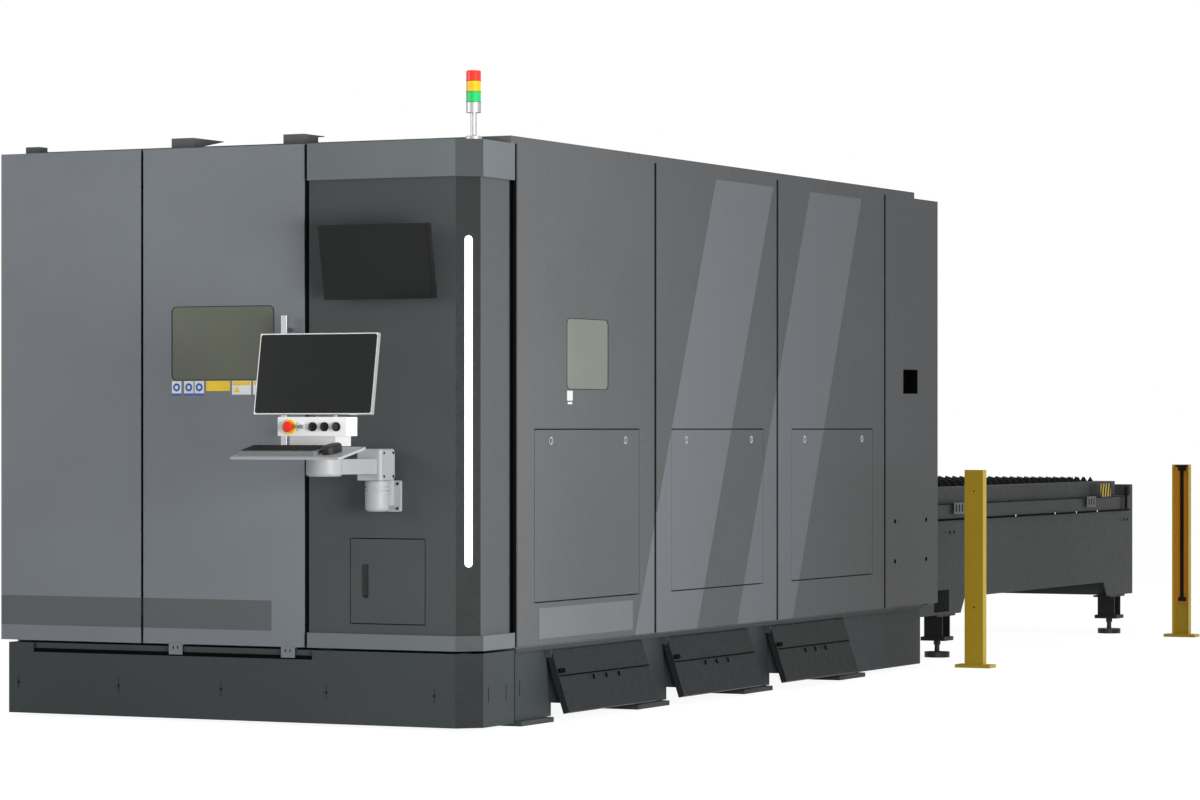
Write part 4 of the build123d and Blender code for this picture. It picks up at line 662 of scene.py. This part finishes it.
# Dark glass of the two screens. The first leans back and the second leans forward
for name, tilt, height, edge in (("operator_screen", radians(10), 0.312, 0.0045),
                                 ("wall_screen", radians(-10.5), 0.292, 0.009)):
    low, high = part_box(name)
    up = Vector((0, sin(tilt), cos(tilt)))
    if tilt > 0:
        foot = Vector(((low.x + high.x) / 2, low.y, high.z - height * cos(tilt)))
    else:
        foot = Vector(((low.x + high.x) / 2, low.y + height * sin(-tilt), low.z))
    mesh = bmesh.new()
    add_plate(mesh, foot + up * height / 2, ((1, 0, 0), up),
              rounded(high.x - low.x - 2 * edge, height - 2 * edge, 0.009), -0.0005, 0.0012)
    finish_piece(mesh, name + "_glass", name, glass_black)

# Rings round the controls: yellow for the stop, bright for the key, black for the others
control_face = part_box("control_box")[0].y + 0.005
control_bore = 0.0096
control_names = ("selector_knob_left", "selector_knob_right", "push_button")


def add_ring(mesh, name, radius, height, sides):
    """Adds a ring round a control, on the face of the control box."""
    spot = center_of(name)
    add_frame(mesh, (spot.x, control_face, spot.z), faces_front, circle(radius, sides),
              circle(control_bore, sides), 0, height)


mesh = bmesh.new()
add_ring(mesh, "emergency_stop", 0.0278, 0.0057, 48)
finish_piece(mesh, "stop_ring", "operator_head", yellow)
mesh = bmesh.new()
for name in control_names:
    add_ring(mesh, name, 0.0172, 0.0057, 40)
finish_piece(mesh, "control_rings", "operator_head", rubber)
mesh = bmesh.new()
add_ring(mesh, "key_switch", 0.013, 0.0062, 40)
finish_piece(mesh, "key_ring", "operator_head", chrome)

# Socket screws of the arm: on the wall plate and on the shoulder's cover
screw_radius = 0.0042
plate_screw_inset = 0.013
cover_screw_inset = 0.016
low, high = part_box("arm_wall_bracket")
mesh = bmesh.new()
for x_side in (low.x + plate_screw_inset, high.x - plate_screw_inset):
    for z_side in (low.z + plate_screw_inset, high.z - plate_screw_inset):
        add_bolt(mesh, (x_side, high.y - 0.014, z_side), (0, -1, 0), screw_radius, 16)
finish_piece(mesh, "wall_plate_screws", "machine", rubber)
low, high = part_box("arm_link")
shoulder_side = high.x - 0.013
mesh = bmesh.new()
for y_side in (high.y - cover_screw_inset, high.y - 0.09):
    for z_side in (low.z + cover_screw_inset, high.z - cover_screw_inset):
        add_bolt(mesh, (shoulder_side, y_side, z_side), (1, 0, 0), screw_radius, 16)
finish_piece(mesh, "shoulder_screws", "arm", rubber)

# Collars of the wall post, each a height, a reach past the post and half a thickness
low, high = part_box("arm_wall_bracket")
post_radius = 0.047
collars = ((0.9615, 0.0025, 0.004), (0.938, 0.004, 0.0035), (0.925, 0.004, 0.0035))
mesh = bmesh.new()
for height, reach, thickness in collars:
    add_frame(mesh, ((low.x + high.x) / 2, low.y + 0.0525, height), faces_up,
              circle(post_radius + reach, 48), circle(post_radius - 0.001, 48), -thickness,
              thickness)
finish_piece(mesh, "post_collars", "machine", materials["arm_white"])

# Raised rim of the shoulder's cover
low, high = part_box("arm_link")
mesh = bmesh.new()
add_frame(mesh, (shoulder_side, high.y - 0.053, (low.z + high.z) / 2), faces_side,
          rounded(0.094, 0.112, 0.012), rounded(0.086, 0.104, 0.008), -0.001, 0.0018)
finish_piece(mesh, "shoulder_cover_rim", "arm", materials["arm_white"])

# Key caps, darker than the keyboard they stand on, whose top slopes up and away; the keyboard's
# light grey between them is a painted highlight
key_pitch = 0.018
key_columns = 18
key_rows = 6
key_height = 0.0014
slope = radians(11)
away = Vector((0, cos(slope), sin(slope)))
lift = Vector((0, -sin(slope), cos(slope)))
low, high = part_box("keyboard")
foot = Vector(((low.x + high.x) / 2, low.y + 0.0026, low.z)) + lift * 0.0168
key_foot = rounded(0.015, 0.015, 0.002, 2)
key_top = rounded(0.0135, 0.0135, 0.002, 2)
mesh = bmesh.new()
for column in range(key_columns):
    for row in range(key_rows):
        across = (column - (key_columns - 1) / 2) * key_pitch
        spot = foot + Vector((across, 0, 0)) + away * (0.016 + row * key_pitch)
        add_loops(mesh, spot, ((1, 0, 0), away), [(key_foot, 0), (key_top, key_height)], False)
finish_piece(mesh, "key_caps", "operator_head", rubber)

# Bolt heads and pale rivets by the grooves of the base's front
groove_start = 0.0475
groove_pitch = 0.483
groove_count = 5
bolt_height = 0.136
rivet_bottom = 0.19
rivet_top = 0.196
low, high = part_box("front_plinth")
mesh = bmesh.new()
rivets = bmesh.new()
for index in range(groove_count):
    groove_x = low.x + groove_start + index * groove_pitch
    add_bolt(mesh, (groove_x, low.y + 0.0005, bolt_height), (0, -1, 0), 0.004, 12)
    add_box(rivets, (groove_x - 0.007, low.y + 0.0002, rivet_bottom),
            (groove_x + 0.007, low.y + 0.0012, rivet_top), 0.0004)
finish_piece(mesh, "groove_bolts", "machine", rubber)
finish_piece(rivets, "groove_rivets", "machine", label_grey)

# Long side of the base: painted shade in the seam behind the front base and in short grooves, and
# the strip on top with its dark joints. Reaches are from the cabin's front
base_low, base_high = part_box("right_base")
wall_x = right - 0.012
strip_side = right - 0.0025
strip_low = 0.3008
strip_high = 0.3085
seam_reach = 0.3445
seam_height = 0.156
groove = rounded(0.004, 0.06, 0.0015, 2)
groove_film = 0.0004
corner_groove_reaches = (0.123, 0.271)
corner_groove_height = 0.139
wall_groove_reach = 0.41
wall_groove_height = 0.146
joint_pitch = 1.089
joint_starts = (0.353, 0.556)
joint_count = 5
joint_height = 0.3045
mesh = bmesh.new()
add_plate(mesh, (right, front + seam_reach, seam_height), faces_side,
          rounded(0.005, 0.284, 0.002, 2), 0, groove_film)
for y_reach in corner_groove_reaches:
    add_plate(mesh, (right, front + y_reach, corner_groove_height), faces_side, groove, 0,
              groove_film)
add_plate(mesh, (wall_x, front + wall_groove_reach, wall_groove_height), faces_side, groove, 0,
          groove_film)
for index in range(joint_count):
    for start in joint_starts:
        joint_y = front + start + index * joint_pitch
        if base_low.y + 0.01 < joint_y < base_high.y - 0.01:
            add_plate(mesh, (strip_side, joint_y, joint_height), faces_side,
                      rounded(0.005, 0.008, 0.001, 2), 0, 0.0006)
finish_piece(mesh, "base_shade_and_joints", "machine", black_and_painted_shade)
mesh = bmesh.new()
add_box(mesh, (wall_x + 0.0005, base_low.y + 0.004, strip_low),
        (strip_side, base_high.y - 0.004, strip_high), 0.001)
finish_piece(mesh, "base_strip", "machine", label_grey)

# Flaps: a black fill in the notch and a dark line along the step below it, both painted shade, and
# three key marks, in the plane of each flap
flap_tilt = radians(18)
down = Vector((sin(flap_tilt), 0, -cos(flap_tilt)))
flap_plane = ((0, 1, 0), -down)
hinge_x = right + 0.0085
hinge_z = 0.275
notch_drop = 0.078
step_drop = 0.0985
mark_drop = 0.118
mark_shares = (0.36, 0.5, 0.64)
for index in range(1, 4):
    low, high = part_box(f"slag_flap_{index}")
    width = high.y - low.y
    top = Vector((hinge_x, (low.y + high.y) / 2, hinge_z))
    notch_side = Vector((0, 0.035 - width / 2, 0))
    mesh = bmesh.new()
    add_plate(mesh, top + down * notch_drop + notch_side, flap_plane,
              rounded(0.05, 0.018, 0.004, 3), 0.0005, 0.0165)
    add_plate(mesh, top + down * step_drop, flap_plane, rounded(width - 0.012, 0.004, 0.0015, 2),
              0.0005, 0.0139)
    for share in mark_shares:
        mark_side = Vector((0, width * (share - 0.5), 0))
        add_plate(mesh, top + down * mark_drop + mark_side, flap_plane,
                  rounded(0.005, 0.02, 0.002, 3), 0.0005, 0.0145)
    finish_piece(mesh, f"flap_{index}_marks", f"slag_flap_{index}", black_and_painted_shade)

# Black inside of the slot that the door's brackets run along
slot_start = left + 0.146
slot_end = console_left + 0.021
slot_middle = ((slot_start + slot_end) / 2, front + 0.0065, 0.27)
slot_width = 0.0145
mesh = bmesh.new()
add_plate(mesh, slot_middle, faces_front, rounded(slot_end - slot_start, slot_width, 0.003, 3), 0,
          0.0008)
finish_piece(mesh, "rail_slot_shade", "machine", black_and_painted_shade)

# Exchange table: slotted guide plates with painted shade in their slots, bright rollers in the gap,
# a hazard label with black stripes, and painted shade in holes and gaps. Reaches are from the
# cabin's front
table_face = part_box("table_frame")[1].x
guide_reaches = (5.732, 7.793)
guide_height = 0.762
slot_pitch = 0.042
roller_reaches = (6.58, 7.2, 7.55, 7.9)
roller_height = 0.7075
hole_places = ((5.6, 0.64), (5.66, 0.64), (8.36, 0.65), (8.42, 0.65))
mesh = bmesh.new()
stripes_and_shade = bmesh.new()
for y_reach in guide_reaches:
    guide_y = front + y_reach
    # Painted shade in the three slots of each guide plate
    for step in (-1, 0, 1):
        add_plate(stripes_and_shade, (table_face, guide_y + step * slot_pitch, guide_height), faces_side,
                  rounded(0.013, 0.04, 0.006, 4), 0.0015, 0.0022)
    add_plate(mesh, (table_face, guide_y, guide_height), faces_side,
              rounded(0.144, 0.058, 0.003, 3), 0, 0.0015)
finish_piece(mesh, "guide_plates", "machine", label_grey)
mesh = bmesh.new()
for y_reach in roller_reaches:
    add_turned(mesh, (table_face - 0.006, front + y_reach, roller_height), (1, 0, 0),
               [(0.0065, 0), (0.0065, 0.004), (0.004, 0.0055)], 20)
finish_piece(mesh, "guide_rollers", "machine", chrome)

hazard_middle = (table_face, front + 8.04, 0.823)
hazard_width = 0.17
hazard_height = 0.075
stripe_count = 4
stripe_pitch = 0.045
stripe_width = 0.018
stripe_lean = 0.02
mesh = bmesh.new()
add_plate(mesh, hazard_middle, faces_side, rounded(hazard_width, hazard_height, 0.002, 2), 0,
          0.0005)
finish_piece(mesh, "hazard_label", "machine", yellow)
for index in range(stripe_count):
    start = -hazard_width / 2 + index * stripe_pitch
    lean_start = start + stripe_lean
    stripe = [(start, -hazard_height / 2), (start + stripe_width, -hazard_height / 2),
              (lean_start + stripe_width, hazard_height / 2), (lean_start, hazard_height / 2)]
    add_plate(stripes_and_shade, hazard_middle, faces_side, stripe, 0, 0.0009)
# Painted shade in four holes of the table's side
for y_reach, height in hole_places:
    add_turned(stripes_and_shade, (table_face, front + y_reach, height), (1, 0, 0),
               [(0.009, 0), (0.009, 0.0006), (0.006, 0.001)], 20)
# Painted shade in the gaps: along the table's top, under the pallet's beam, and before the end
# plate
pallet_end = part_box("upper_pallet")[1].y
top_gap_low = 0.7006
top_gap_high = 0.7094
beam_gap_middle = (table_face, (back + table_end) / 2 + 0.12, 0.7845)
beam_gap_length = table_end - back - 0.62
add_box(stripes_and_shade, (table_face - 0.012, back + 0.4, top_gap_low),
        (table_face - 0.002, table_end - 0.09, top_gap_high), 0.001)
add_plate(stripes_and_shade, beam_gap_middle, faces_side, rounded(beam_gap_length, 0.004, 0.001, 2), 0,
          0.0004)
add_plate(stripes_and_shade, (table_face, pallet_end + 0.065, 0.776), faces_side,
          rounded(0.05, 0.128, 0.003, 2), 0, 0.0005)
finish_piece(stripes_and_shade, "table_stripes_and_shade", "machine", black_and_painted_shade)

# Light curtain posts: a bracket at each end of a post's bar and the ribbed block on top of it
bars_low, bars_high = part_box("curtain_bars")
posts_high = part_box("curtain_posts")[1]
bar_x = (bars_low.x + bars_high.x) / 2
bracket_heights = (bars_low.z - 0.006, bars_high.z + 0.002)
bracket_half = 0.02
rib_count = 7
rib_pitch = 0.01
rib_half = 0.0035
mesh = bmesh.new()
for bar_y, toward in ((bars_low.y, 1), (bars_high.y, -1)):
    near, far = sorted((bar_y, bar_y + toward * 0.026))
    for height in bracket_heights:
        add_box(mesh, (bar_x - bracket_half, near + 0.002, height - 0.01),
                (bar_x + bracket_half, far, height + 0.012), 0.002)
    near, far = sorted((bar_y + toward * 0.004, bar_y + toward * 0.03))
    for rib in range(rib_count):
        rib_x = bar_x + (rib - (rib_count - 1) / 2) * rib_pitch
        add_box(mesh, (rib_x - rib_half, near, posts_high.z - 0.014),
                (rib_x + rib_half, far, posts_high.z - 0.003), 0.0008)
finish_piece(mesh, "bar_brackets", "machine", rubber)

# Rings between the lamps of the tower light
mesh = bmesh.new()
lamp_center = center_of("tower_lens_green")
for name in ("green", "amber", "red"):
    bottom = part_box("tower_lens_" + name)[0].z
    add_frame(mesh, (lamp_center.x, lamp_center.y, bottom), faces_up, circle(0.0296, 40),
              circle(0.027, 40), -0.0008, 0.0008)
finish_piece(mesh, "tower_rings", "machine", black_and_painted_shade)


# Camera at the photograph's place, found from the photo's vanishing points
camera_to_right = 7.2889
camera_to_front = 13.7539
camera_height = 1.1745
camera_turn = radians(26.126)
scene = bpy.context.scene
camera_data = bpy.data.cameras.new("camera")
camera = bpy.data.objects.new("camera", camera_data)
scene.collection.objects.link(camera)
camera.location = (right + camera_to_right, front - camera_to_front, camera_height)
camera.rotation_euler = (radians(90), 0, camera_turn)
camera_data.lens = 120.93
camera_data.sensor_width = 36
camera_data.shift_y = 0.0235
camera_data.clip_end = 200
scene.camera = camera


# White floor and surroundings, and soft lamps

def seen_directly(tree):
    """A share that is 1 for rays from the camera, off gloss and through glass."""
    path = tree.nodes.new("ShaderNodeLightPath")
    share = path.outputs["Is Camera Ray"]
    for name in ("Is Glossy Ray", "Is Transmission Ray"):
        share = calculate(tree, "MAXIMUM", share, path.outputs[name])
    return share


def stage_material():
    """A floor that shows white to the camera and keeps a faint shadow."""
    material, tree, shader = new_material("studio floor")
    shader.inputs["Base Color"].default_value = (0.6, 0.6, 0.6, 1)
    shader.inputs["Roughness"].default_value = 0.9
    glow = node(tree, "ShaderNodeEmission", Strength=0.93)
    seen = tree.nodes.new("ShaderNodeAddShader")
    pale = tree.nodes.new("ShaderNodeBsdfDiffuse")
    pale.inputs["Color"].default_value = (0.2, 0.2, 0.2, 1)
    tree.links.new(glow.outputs[0], seen.inputs[0])
    tree.links.new(pale.outputs[0], seen.inputs[1])
    mix = tree.nodes.new("ShaderNodeMixShader")
    tree.links.new(seen_directly(tree), mix.inputs[0])
    tree.links.new(shader.outputs[0], mix.inputs[1])
    tree.links.new(seen.outputs[0], mix.inputs[2])
    tree.links.new(mix.outputs[0], tree.nodes["Material Output"].inputs[0])
    return material


floor_mesh = bmesh.new()
bmesh.ops.create_grid(floor_mesh, x_segments=1, y_segments=1, size=60)
floor_data = bpy.data.meshes.new("floor")
floor_mesh.to_mesh(floor_data)
floor_mesh.free()
floor = bpy.data.objects.new("floor", floor_data)
floor.location.z = -0.0005
scene.collection.objects.link(floor)
floor_data.materials.append(stage_material())

world = bpy.data.worlds.new("studio")
scene.world = world
world.use_nodes = True
sky = world.node_tree
ambient = sky.nodes["Background"]
ambient.inputs["Color"].default_value = (0.94, 0.97, 1.0, 1)
ambient.inputs["Strength"].default_value = 0.29
seen_white = node(sky, "ShaderNodeBackground", Strength=1.0)
seen_white.inputs["Color"].default_value = (1, 1, 1, 1)
sky_mix = sky.nodes.new("ShaderNodeMixShader")
sky.links.new(seen_directly(sky), sky_mix.inputs[0])
sky.links.new(ambient.outputs[0], sky_mix.inputs[1])
sky.links.new(seen_white.outputs[0], sky_mix.inputs[2])
sky.links.new(sky_mix.outputs[0], sky.nodes["World Output"].inputs[0])


def lamp(name, spot, target, size, power):
    """Adds a soft lamp at a spot, pointed at a target."""
    data = bpy.data.lights.new(name, "AREA")
    data.shape = "RECTANGLE"
    data.size = size[0]
    data.size_y = size[1]
    data.energy = power
    made = bpy.data.objects.new(name, data)
    made.location = spot
    made.rotation_euler = (Vector(target) - Vector(spot)).to_track_quat("-Z", "Y").to_euler()
    scene.collection.objects.link(made)


lamp("front lamp", (-7.5, front - 7.0, 3.6), (-0.3, front, 1.0), (5, 4), 275)
lamp("side lamp", (5.2, -6.4, 1.1), (right, -3.4, 0.6), (3, 1.6), 282)
lamp("floor lamp", (4.5, -5.0, 4.0), (3.0, -4.6, 0.0), (3, 4), 45)
lamp("top lamp", (0.0, 0.5, 8.0), (0.0, 0.5, 0.0), (5, 10), 200)

scene.view_settings.view_transform = "Standard"
